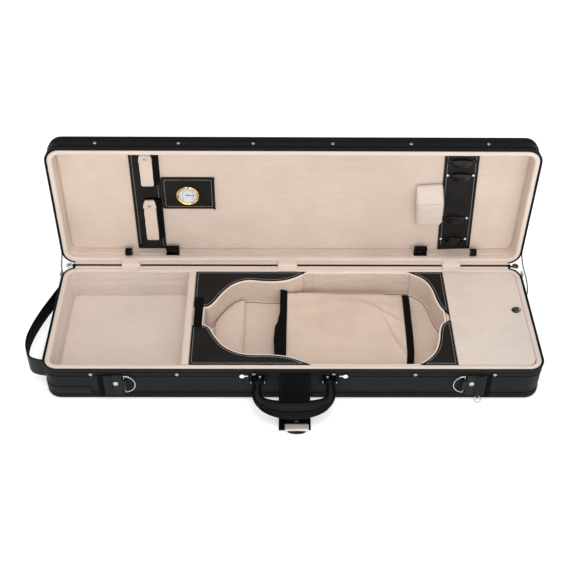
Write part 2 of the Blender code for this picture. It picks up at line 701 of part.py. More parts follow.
def make_handle():
    pivot = make_empty("handle_pivot", (0, HANDLE_Y, HANDLE_Z), (HANDLE_DROOP, 0, 0))
    half = [Vector(p) * MM for p in HANDLE_PATH]
    mirrored = [Vector((-p.x, p.y, p.z)) for p in half[:-1]]
    path = smooth_points([*half, *mirrored[::-1]], 2)
    points = [(p.x, -p.y, 0) for p in path]
    grip = as_mesh(wire("handle_grip", points, MM, radii=[p.z for p in path], resolution=3),
                   flatten=(1, 1, GRIP_FLATNESS))
    grip.parent = pivot
    for side, sign in (("left", -1), ("right", 1)):
        x = sign * HANDLE_X
        join(grip, rod(f"handle_sleeve_{side}", (x, 0, 0), (1, 0, 0), SLEEVE_RADIUS, SLEEVE_LENGTH))
        cut(grip, rod(f"handle_bore_{side}", (x, 0, 0), (1, 0, 0), SLEEVE_BORE, 1.5 * SLEEVE_LENGTH,
                      segments=12))
        make_handle_bracket(side, sign)
    finish(grip, "moulded_black", pivot)


def make_handle_bracket(side, sign):
    """A wall plate with two ears and the pin that the handle turns on."""
    x = sign * HANDLE_X
    wall = FRONT_Y - GAP
    width, depth, height = BRACKET_SIZE
    plate = box(f"handle_bracket_{side}", (x - width / 2, wall - depth, HANDLE_Z - height / 2),
                (x + width / 2, wall, HANDLE_Z + height / 2))
    ear_width, ear_depth, ear_height = EAR_SIZE
    ears = [box(f"handle_ear_{side}_{i}",
                (x + e - ear_width / 2, wall - ear_depth, HANDLE_Z - ear_height / 2),
                (x + e + ear_width / 2, wall - depth / 2, HANDLE_Z + ear_height / 2))
            for i, e in enumerate((-EAR_X, EAR_X))]
    pin = rod(f"handle_pin_{side}", (x, HANDLE_Y, HANDLE_Z), (1, 0, 0), BRACKET_PIN,
              2 * EAR_X + 2 * ear_width, segments=12)
    lobe = rod(f"handle_lobe_{side}", (x + sign * LOBE_X, wall - depth, LOBE_Z), (0, 1, 0), LOBE_RADIUS,
               2 * depth)
    lobe_x = sorted((x, x + sign * LOBE_X))
    arm = box(f"handle_arm_{side}", (lobe_x[0], wall - depth, LOBE_Z - LOBE_RADIUS / 2),
              (lobe_x[1], wall - GAP, LOBE_Z))
    finish(join(plate, *ears, pin, arm, lobe), "chrome")


def make_latch():
    """The leather latch strap, hanging under the handle with its end on the table, and its catch."""
    pivot = make_empty("latch_pivot", LATCH_HINGE)
    path = smooth_points([Vector(p) * MM for p in LATCH_PATH], 3)
    profile = ribbon(path, LATCH_THICKNESS)
    strap = outline_object("latch_flap", [profile], LATCH_X[0], LATCH_X[1])
    offset = Matrix.Translation(-Vector(LATCH_HINGE))
    strap.matrix_basis = offset @ Matrix.Translation((sum(LATCH_X) / 2, 0, 0)) @ STAND
    finish(strap, "black_leather", pivot)

    x0, x1 = CATCH_X
    y0, y1 = CATCH_Y
    z0, z1 = CATCH_Z
    catch = box("latch_catch", (x0, y0, z0), (x1, y1, z1))
    catch.data.transform(offset)
    catch.parent = pivot
    middle = y0 + CATCH_GROOVE_PLACE * (y1 - y0)
    groove = rod("catch_groove", Vector(((x0 + x1) / 2, middle, z1)) - Vector(LATCH_HINGE), (1, 0, 0),
                 CATCH_GROOVE, 1.5 * (x1 - x0), segments=8)
    finish(cut(catch, groove), "chrome", pivot)


def make_strap_rings():
    """A leather tab with a D-ring at each end of the front wall, and a small ring under the right one."""
    for side, sign in (("left", 1), ("right", -1)):
        x0, x1 = TAB_X[side]
        bar_x = (x1 if sign > 0 else x0) + sign * DRING_BAR_GAP
        wall = FRONT_Y - GAP
        tab = box(f"d_ring_tab_{side}", (x0, wall - TAB_THICKNESS, TAB_Z[0]), (x1, wall, TAB_Z[1]))
        reach = sorted((x1 if sign > 0 else x0, bar_x))
        neck = box(f"d_ring_neck_{side}",
                   (reach[0] - MM, wall - TAB_THICKNESS, DRING_Z - DRING_SLEEVE_HALF),
                   (reach[1] + MM, wall - GAP, DRING_Z + DRING_SLEEVE_HALF))
        sleeve = rod(f"d_ring_sleeve_{side}", (bar_x, DRING_Y, DRING_Z), (0, 0, 1), DRING_SLEEVE,
                     2 * DRING_SLEEVE_HALF)
        bore = rod(f"d_ring_bore_{side}", (bar_x, DRING_Y, DRING_Z), (0, 0, 1), DRING_SLEEVE_BORE,
                   3 * DRING_SLEEVE_HALF, segments=12)
        cut(join(tab, neck, sleeve), bore)
        if side == "right":
            add_small_ring(tab)
        finish(tab, "black_leather")
        pivot = make_empty(f"d_ring_{side}_pivot", (bar_x, DRING_Y, DRING_Z))
        arc = [math.pi * k / 12 for k in range(13)]
        loop = [(sign * DRING_REACH * math.sin(a), 0, DRING_HALF * math.cos(a)) for a in arc]
        ring = as_mesh(wire(f"d_ring_{side}", loop, DRING_WIRE, cyclic=True))
        finish(ring, "chrome", pivot)


def add_small_ring(tab):
    """A folded loop under the right tab, with the small ring that hangs from it."""
    width, depth, height = SMALL_LOOP
    wall = FRONT_Y - GAP
    top = SMALL_RING_TOP_Z
    loop_y = wall - depth / 2
    fold = box("small_ring_fold", (SMALL_RING_X - width / 2, wall - depth, top - height / 2),
               (SMALL_RING_X + width / 2, wall, top + height / 2))
    bore = rod("small_ring_bore", (SMALL_RING_X, loop_y, top), (1, 0, 0), SMALL_LOOP_BORE, 2 * width,
               segments=12)
    cut(join(tab, fold), bore)
    pivot = make_empty("bottom_ring_pivot", (SMALL_RING_X, loop_y, top))
    out, down = math.sin(SMALL_RING_LEAN), math.cos(SMALL_RING_LEAN)
    loop = []
    for k in range(20):
        a = math.tau * k / 20
        hang = SMALL_RING_RADIUS * (1 - math.cos(a))
        loop.append((SMALL_RING_RADIUS * math.sin(a), -hang * out, -hang * down))
    finish(as_mesh(wire("bottom_ring", loop, SMALL_RING_WIRE, cyclic=True)), "chrome", pivot)


def make_end_handle():
    """The webbing handle that bows out from the left end, and the leather tab that holds its front."""
    strap = ribbon(plan_curve(END_STRAP_PATH), END_STRAP_THICKNESS)
    finish(outline_object("end_handle_strap", [strap], *END_STRAP_Z), "webbing")
    tab = ribbon(plan_curve(END_TAB_PATH), END_TAB_THICKNESS)
    finish(outline_object("end_handle_tab", [tab], *END_TAB_Z), "black_leather")


def make_zip_sliders():
    """A slider at each rear corner, outside the base's zip tape."""
    width, length, height = SLIDER_SIZE
    for side, sign in (("left", -1), ("right", 1)):
        near = sign * (LENGTH / 2 + GAP)
        xs = sorted((near, near + sign * width))
        pivot = make_empty(f"zip_slider_{side}_start", (0, SLIDER_Y, SLIDER_Z))
        slider = box(f"zip_slider_{side}", (xs[0], -length / 2, -height / 2),
                     (xs[1], length / 2, height / 2), soft=SLIDER_EDGE)
        finish(slider, "steel", pivot)


# ---------------------------------------------------------------- fittings in and on the lid

def make_music_pocket():
    half_x = LENGTH / 2 - POCKET_INSET
    half_y = WIDTH / 2 - POCKET_INSET
    pocket = box("music_pocket", (-half_x, -half_y, -GAP - POCKET_THICKNESS), (half_x, half_y, -GAP),
                 corner=CORNER_RADIUS - POCKET_INSET, soft=POCKET_EDGE)
    finish(pocket, "black_nylon", LID_FRAME)


def make_bow_fittings():
    """A strip down each end of the lid, and two holders with turning toggles on the left one."""
    floor = LID_FLOOR_Z + GAP
    top = floor + STRIP_THICKNESS
    for side, (x0, x1) in (("left", LEFT_STRIP_X), ("right", RIGHT_STRIP_X)):
        strip = box(f"bow_strip_{side}", (x0, -STRIP_HALF_LENGTH, floor), (x1, STRIP_HALF_LENGTH, top))
        if side == "right":
            strip.matrix_basis = RIGHT_LEAN @ strip.matrix_basis
        finish(strip, "black_leather", LID_FRAME)
    for level, (y0, y1) in HOLDERS.items():
        holder = box(f"bow_holder_{level}", (HOLDER_X[0], y0, top + GAP),
                     (HOLDER_X[1], y1, top + GAP + HOLDER_THICKNESS), corner=PLATE_CORNER)
        finish(holder, "moulded_black", LID_FRAME)
        z0 = top + HOLDER_THICKNESS + 2 * GAP
        screw_x = sum(TOGGLE_X) / 2
        screw_y = y1 - TOGGLE_PIVOT_DROP
        pivot = make_empty(f"bow_toggle_{level}_pivot", (screw_x, screw_y, z0))
        pivot.parent = LID_FRAME
        toggle = box(f"bow_toggle_{level}", (TOGGLE_X[0] - screw_x, y0 - screw_y, 0),
                     (TOGGLE_X[1] - screw_x, y1 - screw_y, TOGGLE_THICKNESS), corner=PLATE_CORNER,
                     soft=TOGGLE_EDGE)
        finish(toggle, "cream_plush", pivot)


def make_hygrometer():
    """A leather plate with a turned dial case and its needle."""
    floor = LID_FLOOR_Z + GAP
    top = floor + STRIP_THICKNESS
    plate = box("hygrometer_plate", (PLATE_X[0], PLATE_Y[0], floor), (PLATE_X[1], PLATE_Y[1], top),
                corner=PLATE_CORNER)
    finish(plate, "black_leather", LID_FRAME)
    case_z = top + GAP
    bm = bmesh.new()
    verts = [bm.verts.new((r * MM, 0, z * MM)) for r, z in CASE_PROFILE]
    for a, b in zip(verts, verts[1:]):
        bm.edges.new((a, b))
    mesh = bpy.data.meshes.new("hygrometer_case")
    bm.to_mesh(mesh)
    bm.free()
    case = bpy.data.objects.new("hygrometer_case", mesh)
    case.location = (DIAL_X, DIAL_Y, case_z)
    screw = case.modifiers.new("Turned", "SCREW")
    screw.steps = CASE_STEPS
    screw.render_steps = CASE_STEPS
    screw.use_merge_vertices = True
    screw.merge_threshold = WELD
    finish(case, "gold", LID_FRAME)

    hub_z = case_z + CASE_PROFILE[0][1] * MM + GAP
    pivot = make_empty("hygrometer_needle_pivot", (DIAL_X, DIAL_Y, hub_z))
    pivot.parent = LID_FRAME
    hub = rod("hygrometer_needle", (0, 0, NEEDLE_THICKNESS / 2), (0, 0, 1), NEEDLE_RADIUS,
              NEEDLE_THICKNESS, segments=12)
    hub.parent = pivot
    reach = NEEDLE_LENGTH / 2
    arm = box("needle_arm", (-reach / 2, -NEEDLE_WIDTH / 2, NEEDLE_THICKNESS / 4),
              (reach, NEEDLE_WIDTH / 2, NEEDLE_THICKNESS * 3 / 4))
    finish(join(hub, arm), "needle_black", pivot)


def make_bow_cushion():
    """The roof-shaped cushion beside the right strip: an outline in (y, z) with its length along x."""
    floor = LID_FLOOR_Z + GAP
    side = [(y * MM, z * MM + floor) for y, z in CUSHION_SIDE]
    cushion = outline_object("bow_cushion", [side], CUSHION_X[0], CUSHION_X[1])
    cushion.matrix_basis = RIGHT_LEAN @ Matrix.Translation((sum(CUSHION_X) / 2, 0, 0)) @ STAND
    finish(cushion, "cream_plush", LID_FRAME)


def make_string_tube():
    """The clear string tube in two clips on the lid's lower wall, with its pull-off cap."""
    x0, x1 = TUBE_X
    centre = ((x0 + x1 - CAP_LENGTH) / 2, TUBE_Y, TUBE_Z)
    tube = rod("string_tube", centre, (1, 0, 0), TUBE_RADIUS, x1 - x0 - CAP_LENGTH)
    tube.parent = LID_FRAME
    closed_end = rod("string_tube_end", (x0 + CAP_LENGTH / 2, TUBE_Y, TUBE_Z), (1, 0, 0), CAP_RADIUS,
                     CAP_LENGTH)
    finish(join(tube, closed_end), "clear_tube", LID_FRAME)
    cap = rod("string_tube_cap", (x1 - CAP_LENGTH / 2 + GAP, TUBE_Y, TUBE_Z), (1, 0, 0), CAP_RADIUS,
              CAP_LENGTH)
    finish(cap, "moulded_black", LID_FRAME)
    wall_y = -(WIDTH / 2 - INNER_INSET) + GAP
    bore_radius = TUBE_RADIUS + GAP
    for side, (a, b) in CLIP_XS.items():
        block = box(f"string_tube_clip_{side}", (a, wall_y, TUBE_Z - CLIP_DEPTH),
                    (b, TUBE_Y + bore_radius + CLIP_JAW, TUBE_Z + CLIP_GRIP))
        block.parent = LID_FRAME
        bore = rod(f"clip_bore_{side}", ((a + b) / 2, TUBE_Y, TUBE_Z), (1, 0, 0), bore_radius, 2 * (b - a))
        finish(cut(block, bore), "moulded_black", LID_FRAME)


# ---------------------------------------------------------------- assembly

def main():
    make_tray("base", BASE_HEIGHT, BASE_SHELL_FLOOR, BASE_FLOOR_Z, 0.0, None)
    make_tray("lid", LID_DEPTH, LID_SHELL_FLOOR, LID_FLOOR_Z, LID_INNER_EDGE, LID_FRAME)
    make_hinges()
    make_dividers()
    make_bay_insert()
    make_panels()
    make_blanket()
    make_neck_strap()
    make_accessory_lid()
    make_handle()
    make_latch()
    make_strap_rings()
    make_end_handle()
    make_zip_sliders()
    make_music_pocket()
    make_bow_fittings()
    make_hygrometer()
    make_bow_cushion()
    make_string_tube()
    bpy.context.view_layer.update()


main()
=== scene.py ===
import math

import bmesh
import bpy
from mathutils import Matrix, Vector, noise


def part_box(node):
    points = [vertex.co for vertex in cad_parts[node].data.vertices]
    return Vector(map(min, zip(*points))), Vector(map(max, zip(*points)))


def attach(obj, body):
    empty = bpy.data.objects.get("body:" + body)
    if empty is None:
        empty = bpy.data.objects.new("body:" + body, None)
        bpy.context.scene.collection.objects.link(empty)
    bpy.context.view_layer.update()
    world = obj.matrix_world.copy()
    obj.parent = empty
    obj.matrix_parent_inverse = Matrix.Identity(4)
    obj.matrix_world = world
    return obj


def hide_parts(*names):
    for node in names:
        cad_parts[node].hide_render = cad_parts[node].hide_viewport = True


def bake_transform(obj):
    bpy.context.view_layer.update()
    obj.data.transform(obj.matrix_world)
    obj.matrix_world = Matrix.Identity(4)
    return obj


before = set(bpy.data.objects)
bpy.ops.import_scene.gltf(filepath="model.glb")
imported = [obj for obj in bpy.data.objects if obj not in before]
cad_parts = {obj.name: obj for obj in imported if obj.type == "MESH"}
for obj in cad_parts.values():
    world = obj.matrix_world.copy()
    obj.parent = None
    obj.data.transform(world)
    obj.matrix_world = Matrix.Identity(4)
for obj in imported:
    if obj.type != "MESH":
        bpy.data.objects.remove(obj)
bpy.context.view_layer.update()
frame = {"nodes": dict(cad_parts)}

# ---------------------------------------------------------------- places read from the CAD model

MM = 0.001
HALF_X, HALF_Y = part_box("base_zip_tape")[1].xy
CORNER = 0.025
BASE_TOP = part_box("base_rim")[1].z
COVER_LOW, COVER_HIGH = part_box("lid_cover")
# The lid's own tray frame: x along the case, y up the open lid, z towards its mouth
LID = Matrix.Translation((0, COVER_HIGH.y, (COVER_LOW.z + COVER_HIGH.z) / 2)) @ Matrix.Rotation(math.pi / 2, 4, "X")
LID_BACK = LID.inverted()
LID_DEPTH = COVER_HIGH.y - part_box("lid_rim")[0].y
LID_FLOOR = 0.0150
FRONT_Y = -HALF_Y + 0.0015


# ---------------------------------------------------------------- materials

def scaled(colour, factor):
    return (*[min(1.0, c * factor) for c in colour], 1.0)


def look(name, slot, colour, roughness, blotch=(30, 0.05), fleck=None, streak=None, worn=0.0, bumps=(), shine=0.5,
         **sockets):
    """A procedural material: colour in soft blotches, flecks or streaks, roughness that varies, and bumps."""
    material = bpy.data.materials.new(name)
    material.use_nodes = True
    material["slot"] = slot
    nodes, links = material.node_tree.nodes, material.node_tree.links
    shader = nodes["Principled BSDF"]

    def add(kind, output, **given):
        """Adds a node. Names in small letters are its settings, the others are inputs, linked or set."""
        made = nodes.new("ShaderNode" + kind)
        for key, value in given.items():
            if key[0].islower():
                setattr(made, key, value)
            elif isinstance(value, bpy.types.NodeSocket):
                links.new(value, made.inputs[key.replace("_", " ")])
            else:
                made.inputs[key.replace("_", " ")].default_value = value
        return made.outputs[output]

    def clouds(scale, detail=3.0, rough=0.5, place=None):
        return add("TexNoise", "Fac", Scale=scale, Detail=detail, Roughness=rough, Vector=place or coords)

    def ramp(value, start, end, low, high):
        made = nodes.new("ShaderNodeValToRGB")
        for element, place, shade in zip(made.color_ramp.elements, (start, end), (low, high)):
            element.position, element.color = place, shade
        links.new(value, made.inputs["Fac"])
        return made.outputs["Color"]

    coords = add("TexCoord", "Object")
    tint = ramp(clouds(blotch[0]), 0.35, 0.65, scaled(colour, 1 - blotch[1]), scaled(colour, 1 + blotch[1]))
    stretched = add("Mapping", "Vector", Scale=(0.12, 1.0, 1.0), Vector=coords)
    for layer, place in ((fleck, coords), (streak, stretched)):
        if layer:
            scale, depth = layer
            second = ramp(clouds(scale, 1.0, place=place), 0.4, 0.6, scaled((1 - depth,) * 3, 1), (1, 1, 1, 1))
            tint = add("Mix", "Result", data_type="RGBA", blend_type="MULTIPLY", Factor=1.0, A=tint, B=second)
    links.new(tint, shader.inputs["Base Color"])
    shader.inputs["Roughness"].default_value = roughness
    if worn:
        span = add("MapRange", "Result", To_Min=max(0.02, roughness - worn), To_Max=min(1.0, roughness + worn),
                   Value=clouds(60.0, 4.0, 0.6))
        links.new(span, shader.inputs["Roughness"])
    normal = {}
    for kind, scale, depth in bumps:
        if kind == "grain":
            height = add("TexVoronoi", "Distance", Scale=scale, Vector=coords)
        elif kind == "noise":
            height = clouds(scale)
        else:  # waves along one axis, or a weave along all three
            waves = [add("TexWave", "Fac", bands_direction=axis, Scale=scale, Vector=coords,
                         Distortion=0.4 if kind == "XYZ" else 0.0) for axis in kind]
            height = waves[0]
            for other in waves[1:]:
                both_ways = nodes.new("ShaderNodeMath")
                links.new(height, both_ways.inputs[0])
                links.new(other, both_ways.inputs[1])
                height = both_ways.outputs["Value"]
        normal = {"Normal": add("Bump", "Normal", Strength=1.0, Distance=depth, Height=height, **normal)}
    for socket, bumped in normal.items():
        links.new(bumped, shader.inputs[socket])
    for socket, value in {"Specular_IOR_Level": shine, **sockets}.items():
        shader.inputs[socket.replace("_", " ")].default_value = value
    return material


CREAM = (0.735, 0.600, 0.508)
PLUSH = {"fleck": (900, 0.06), "streak": (380, 0.04), "bumps": [("noise", 60, 0.0006), ("noise", 1400, 0.0003)]}
SHEEN = {"Sheen_Weight": 0.25, "Sheen_Roughness": 0.4}
FINE = [("noise", 500, 0.00002)]
THREAD = {"blotch": (300, 0.1), "bumps": [("noise", 2500, 0.0001)]}
LOOKS = {
    "plush": look("plush", "plush", CREAM, 0.95, blotch=(10, 0.05), **PLUSH, **SHEEN),
    "base_plush": look("base_plush", "plush", (0.765, 0.660, 0.585), 0.95, blotch=(10, 0.04), **PLUSH, **SHEEN),
    "rim": look("rim_plush", "rim_plush", (0.76, 0.64, 0.555), 0.92, blotch=(20, 0.03), fleck=(900, 0.05),
                bumps=[("noise", 80, 0.0004), ("noise", 1500, 0.00025)], **SHEEN),
    "piping": look("pale_piping", "rim_plush", (0.87, 0.77, 0.69), 0.85, blotch=(20, 0.03),
                   bumps=[("noise", 1500, 0.0001)], **SHEEN),
    "cloth": look("blanket_cloth", "blanket_cloth", (0.69, 0.545, 0.45), 0.7, blotch=(14, 0.06),
                  bumps=[("noise", 70, 0.0005), ("XYZ", 420, 0.00005)], Sheen_Weight=0.25, Sheen_Roughness=0.3),
    "nylon": look("black_nylon", "nylon", (0.0035, 0.0035, 0.004), 0.6, blotch=(25, 0.15), worn=0.08, shine=0.14,
                  bumps=[("noise", 35, 0.0012), ("XYZ", 330, 0.00012)]),
    "nylon_band": look("black_nylon_band", "nylon", (0.0055, 0.0055, 0.0073), 0.5, blotch=(25, 0.2), worn=0.1,
                       bumps=[("noise", 35, 0.0012), ("XYZ", 330, 0.0001)], shine=0.13),
    "tape": look("zip_tape", "zip_tape", (0.005, 0.005, 0.006), 0.8, bumps=[("XYZ", 500, 0.0001)], shine=0.15),
    "teeth": look("zip_teeth", "zip_tape", (0.008, 0.008, 0.009), 0.45, bumps=[("noise", 600, 0.0001)], shine=0.3),
    "binding": look("binding", "nylon", (0.004, 0.004, 0.005), 0.6, bumps=[("XYZ", 450, 0.0001)], shine=0.2),
    "leather": look("black_leather", "leather", (0.0085, 0.0078, 0.0070), 0.5, blotch=(40, 0.25), worn=0.08,
                    bumps=[("noise", 45, 0.0004), ("grain", 900, 0.00022)], shine=0.18),
    "strap_leather": look("strap_leather", "leather", (0.0034, 0.0033, 0.0032), 0.45, blotch=(40, 0.25), worn=0.08,
                          bumps=[("noise", 45, 0.0004), ("grain", 900, 0.0002)], shine=0.1),
    "velcro": look("black_velvet", "hook_and_loop", (0.003, 0.003, 0.0035), 0.95, bumps=[("noise", 1600, 0.0005)],
                   shine=0.12),
    "moulded": look("moulded_black", "moulded_black", (0.0017, 0.0017, 0.0023), 0.32, blotch=(50, 0.1), worn=0.05,
                    bumps=[("grain", 700, 0.00005)], shine=0.08),
    "glossy": look("glossy_black", "moulded_black", (0.003, 0.003, 0.0035), 0.14, blotch=(50, 0.1), worn=0.04,
                   bumps=[("noise", 60, 0.0003)], shine=0.3),
    "webbing": look("black_webbing", "webbing", (0.0027, 0.0027, 0.003), 0.8, bumps=[("XYZ", 260, 0.0004)],
                    shine=0.08),
    "chrome": look("chrome", "chrome", (0.80, 0.80, 0.82), 0.14, blotch=(80, 0.02), worn=0.05, bumps=FINE,
                   Metallic=1.0),
    "satin": look("satin_nickel", "chrome", (0.66, 0.62, 0.58), 0.45, blotch=(80, 0.06), worn=0.08,
                  bumps=[("X", 700, 0.00003)], Metallic=0.5),
    "steel": look("steel", "steel", (0.50, 0.50, 0.51), 0.30, blotch=(80, 0.05), worn=0.08,
                  bumps=[("X", 900, 0.00003)], Metallic=1.0),
    "gold": look("gold", "gold", (0.83, 0.60, 0.22), 0.16, blotch=(120, 0.04), worn=0.06,
                 bumps=[("noise", 700, 0.00002)], Metallic=1.0),
    "dial": look("dial_face", "gold", (0.86, 0.88, 0.93), 0.4, blotch=(200, 0.02)),
    "ink": look("dial_ink", "needle", (0.02, 0.02, 0.02), 0.5, blotch=(200, 0.05)),
    "glass": look("clear_glass", "clear_plastic", (1.0, 1.0, 1.0), 0.03, blotch=(10, 0.0), Transmission_Weight=1.0,
                  IOR=1.12),
    "tube": look("clear_tube", "clear_plastic", (0.98, 0.985, 1.0), 0.08, blotch=(10, 0.0), Transmission_Weight=1.0,
                 IOR=1.06, shine=1.0),
    "thread": look("pale_thread", "leather", (0.46, 0.44, 0.41), 0.7, **THREAD),
    "black_thread": look("black_thread", "webbing", (0.012, 0.012, 0.013), 0.7, shine=0.2, **THREAD),
    "dark_steel": look("dark_steel", "chrome", (0.11, 0.105, 0.10), 0.32, blotch=(80, 0.1), worn=0.08, bumps=FINE,
                       Metallic=1.0),
    "wood": look("plywood", "wood_shell", (0.42, 0.29, 0.17), 0.7, blotch=(15, 0.1), bumps=[("Z", 200, 0.0001)]),
}


def both(*stems):
    return [f"{stem}_{side}" for stem in stems for side in ("left", "right")]


PANELS = ["panel_rear_left", "panel_front_left", "panel_rear_right", "panel_front_right"]
HINGE_LEAVES = [f"hinge_{place}_{part}_leaf" for place in ("left", "centre", "right") for part in ("base", "lid")]
NODE_LOOKS = {
    "chrome": both("handle_bracket"),
    "dark_steel": ["pull_ring", "pull_plate"],
    "steel": [*both("d_ring", "zip_slider"), "bottom_ring", *HINGE_LEAVES],
    "leather": [*PANELS, *both("d_ring_tab", "bow_strip"), "end_handle_tab", "hygrometer_plate"],
    "strap_leather": ["latch_flap"],
    "moulded": ["bow_holder_upper", "bow_holder_lower", "string_tube_cap", *both("string_tube_clip")],
    "wood": ["base_shell", "lid_shell"],
    "tape": ["base_zip_tape", "lid_zip_tape"],
    "gold": ["hygrometer_case"],
    "ink": ["hygrometer_needle"],
    "tube": ["string_tube"],
}
ROUNDED = {  # millimetres broken off the edges of hard pieces
    0.3: both("handle_bracket"),
    0.4: both("bow_strip"),
    0.5: ["hygrometer_plate", *both("string_tube_clip")],
    0.6: both("d_ring_tab"),
    0.7: [*PANELS, "latch_flap"],
    0.8: ["end_handle_tab", "bow_holder_upper", "bow_holder_lower", "string_tube_cap"],
}


def dress_nodes():
    nodes = frame["nodes"]
    for name, group in NODE_LOOKS.items():
        for node in group:
            nodes[node].data.materials.clear()
            nodes[node].data.materials.append(LOOKS[name])
            for polygon in nodes[node].data.polygons:
                polygon.material_index = 0
            nodes[node].modifiers.new("Weld", "WELD").merge_threshold = 0.00001
    for width, group in ROUNDED.items():
        for node in group:
            bevel = nodes[node].modifiers.new("Edges", "BEVEL")
            bevel.width = width * MM
            bevel.segments = 3
            bevel.limit_method = "ANGLE"
            bevel.angle_limit = math.radians(40)
    # The chrome brackets are given the black moulded look but for the lobe at each outer side and the ends of the pins:
    # painted reflection, the black standing in for dark surroundings mirrored in the chrome
    for node in both("handle_bracket"):
        nodes[node].data.materials.append(LOOKS["moulded"])
        for polygon in nodes[node].data.polygons:
            x, y, z = abs(polygon.center.x), polygon.center.y, polygon.center.z
            pin_end = (x < 0.0464 or x > 0.0666) and (y - HANDLE_PIVOT.y) ** 2 + (z - HANDLE_PIVOT.z) ** 2 < 0.0016 ** 2
            polygon.material_index = 0 if x > 0.0705 or pin_end else 1


# ---------------------------------------------------------------- mesh helpers

def mm(points):
    return [Vector(p) * MM for p in points]


def spread(a, b, count):
    """Even steps from a to b, both included."""
    return [a + (b - a) * k / count for k in range(count + 1)]


def blunt(value, power):
    """A sine or cosine bent towards a squarer shape."""
    return math.copysign(abs(value) ** power, value)


def piece(name, bm, look_name, body, stand=None, stands_for=(), smooth=50):
    """Turns a bmesh into an object that rides on a body, in its material."""
    bmesh.ops.recalc_face_normals(bm, faces=bm.faces)
    mesh = bpy.data.meshes.new(name)
    bm.to_mesh(mesh)
    bm.free()
    if stand:
        mesh.transform(stand)
    mesh.materials.append(LOOKS[look_name])
    mesh.shade_smooth()
    mesh.set_sharp_from_angle(angle=math.radians(smooth))
    obj = bpy.data.objects.new(name, mesh)
    bpy.context.scene.collection.objects.link(obj)
    if body:
        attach(obj, body)
    if stands_for:
        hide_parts(*stands_for)
    return obj


def add_rings(bm, rings, closed=False):
    """Skins a row of rings with equal numbers of points, with a cap at each end of an open row."""
    rows = [[bm.verts.new(p) for p in ring] for ring in rings]
    for a, b in zip(rows, rows[1:] + rows[:1] if closed else rows[1:]):
        for i in range(len(a)):
            j = (i + 1) % len(a)
            bm.faces.new((a[i], a[j], b[j], b[i]))
    if not closed:
        bm.faces.new(rows[0])
        bm.faces.new(rows[-1])
    return bm


def ringed(rings, closed=False):
    return add_rings(bmesh.new(), rings, closed)


def smooth_path(points, steps, cyclic=False):
    """Points on a smooth curve (Catmull-Rom) through the given ones."""
    points = [Vector(p) for p in points]
    if cyclic:
        padded = [points[-1], *points, points[0], points[1]]
    else:
        padded = [2 * points[0] - points[1], *points, 2 * points[-1] - points[-2]]
    curve = []
    for a, b, c, d in zip(padded, padded[1:], padded[2:], padded[3:]):
        for t in [k / steps for k in range(steps)]:
            curve.append(0.5 * (2 * b + (c - a) * t + (2 * a - 5 * b + 4 * c - d) * t ** 2
                                + (3 * b - a - 3 * c + d) * t ** 3))
    return curve if cyclic else [*curve, points[-1]]


def even_path(points, step, cyclic=False):
    """The same line with its points an even distance apart."""
    points = [Vector(p) for p in points]
    if cyclic:
        points.append(points[0])
    lengths = [(b - a).length for a, b in zip(points, points[1:])]
    total = sum(lengths)
    count = max(3, round(total / step))
    result, i, walked = [], 0, 0.0
    for k in range(count if cyclic else count + 1):
        target = total * k / count
        while i < len(lengths) - 1 and walked + lengths[i] < target:
            walked += lengths[i]
            i += 1
        result.append(points[i].lerp(points[i + 1], min(1.0, (target - walked) / max(lengths[i], 1e-9))))
    return result


def round_section(radius, sides=10):
    return [(radius * math.cos(math.tau * k / sides), radius * math.sin(math.tau * k / sides))
            for k in range(sides)]


def strap_section(width, thickness, edge=None, crown=0.0, across=8):
    """A flat strap's section with rounded edges: (across, up)."""
    edge = edge or thickness / 2
    half, h = width / 2, thickness / 2
    top = [(u * (half - edge), h + crown * (1 - u * u)) for u in spread(-1, 1, across)]
    right = [(half - edge + edge * math.sin(a), h * math.cos(a))
             for a in (math.pi / 4, math.pi / 2, 3 * math.pi / 4)]
    return top + right + [(-x, -h) for x, _ in top] + [(-x, -y) for x, y in right]


def add_sweep(bm, points, section, cyclic=False, up=(0, 0, 1), sizes=None):
    """Sweeps a section along a line. The section is (across, up) and its up leans as little as it can."""
    points = [Vector(p) for p in points]
    lean = Vector(up)
    rings = []
    for i, point in enumerate(points):
        after = points[(i + 1) % len(points)] if cyclic else points[min(i + 1, len(points) - 1)]
        before = points[i - 1] if cyclic else points[max(i - 1, 0)]
        along = (after - before).normalized()
        lean = (lean - along * lean.dot(along)).normalized()
        across = along.cross(lean)
        size = sizes[i] if sizes else 1.0
        rings.append([point + across * a * size + lean * b * size for a, b in section])
    return add_rings(bm, rings, closed=cyclic)


def swept(points, section, **how):
    return add_sweep(bmesh.new(), points, section, **how)


def add_turned(bm, profile, matrix, segments=20):
    """A turned solid: profile of (radius, height) from the axis and back to it, about z."""
    return add_rings(bm, [[matrix @ Vector((x, y, z)) for x, y in round_section(r, segments)] for r, z in profile])


def turned(profile, matrix, segments=20):
    return add_turned(bmesh.new(), profile, matrix, segments)


def facing(direction, place):
    """A matrix that stands z along a direction at a place."""
    return Matrix.Translation(place) @ Vector((0, 0, 1)).rotation_difference(Vector(direction)).to_matrix().to_4x4()


def rounded_ring(hx, hy, radius, z):
    """A rounded rectangle at a height, with the same number of points whatever its size."""
    ring = []
    for sx, sy, start, count, along in ((1, -1, -math.pi / 2, 60, (-1, 0)), (1, 1, 0, 20, (0, -1)),
                                        (-1, 1, math.pi / 2, 60, (1, 0)), (-1, -1, math.pi, 20, (0, 1))):
        centre = Vector((sx * (hx - radius), sy * (hy - radius)))
        run = 2 * ((hx if along[0] else hy) - radius)
        first = centre + Vector((math.cos(start), math.sin(start))) * radius
        ring += [first + Vector(along) * run * (1 - k / count) for k in range(count)]
        for k in range(8):
            a = start + (math.pi / 2) * k / 8
            ring.append(centre + Vector((math.cos(a), math.sin(a))) * radius)
    return [Vector((p.x, p.y, z)) for p in ring]


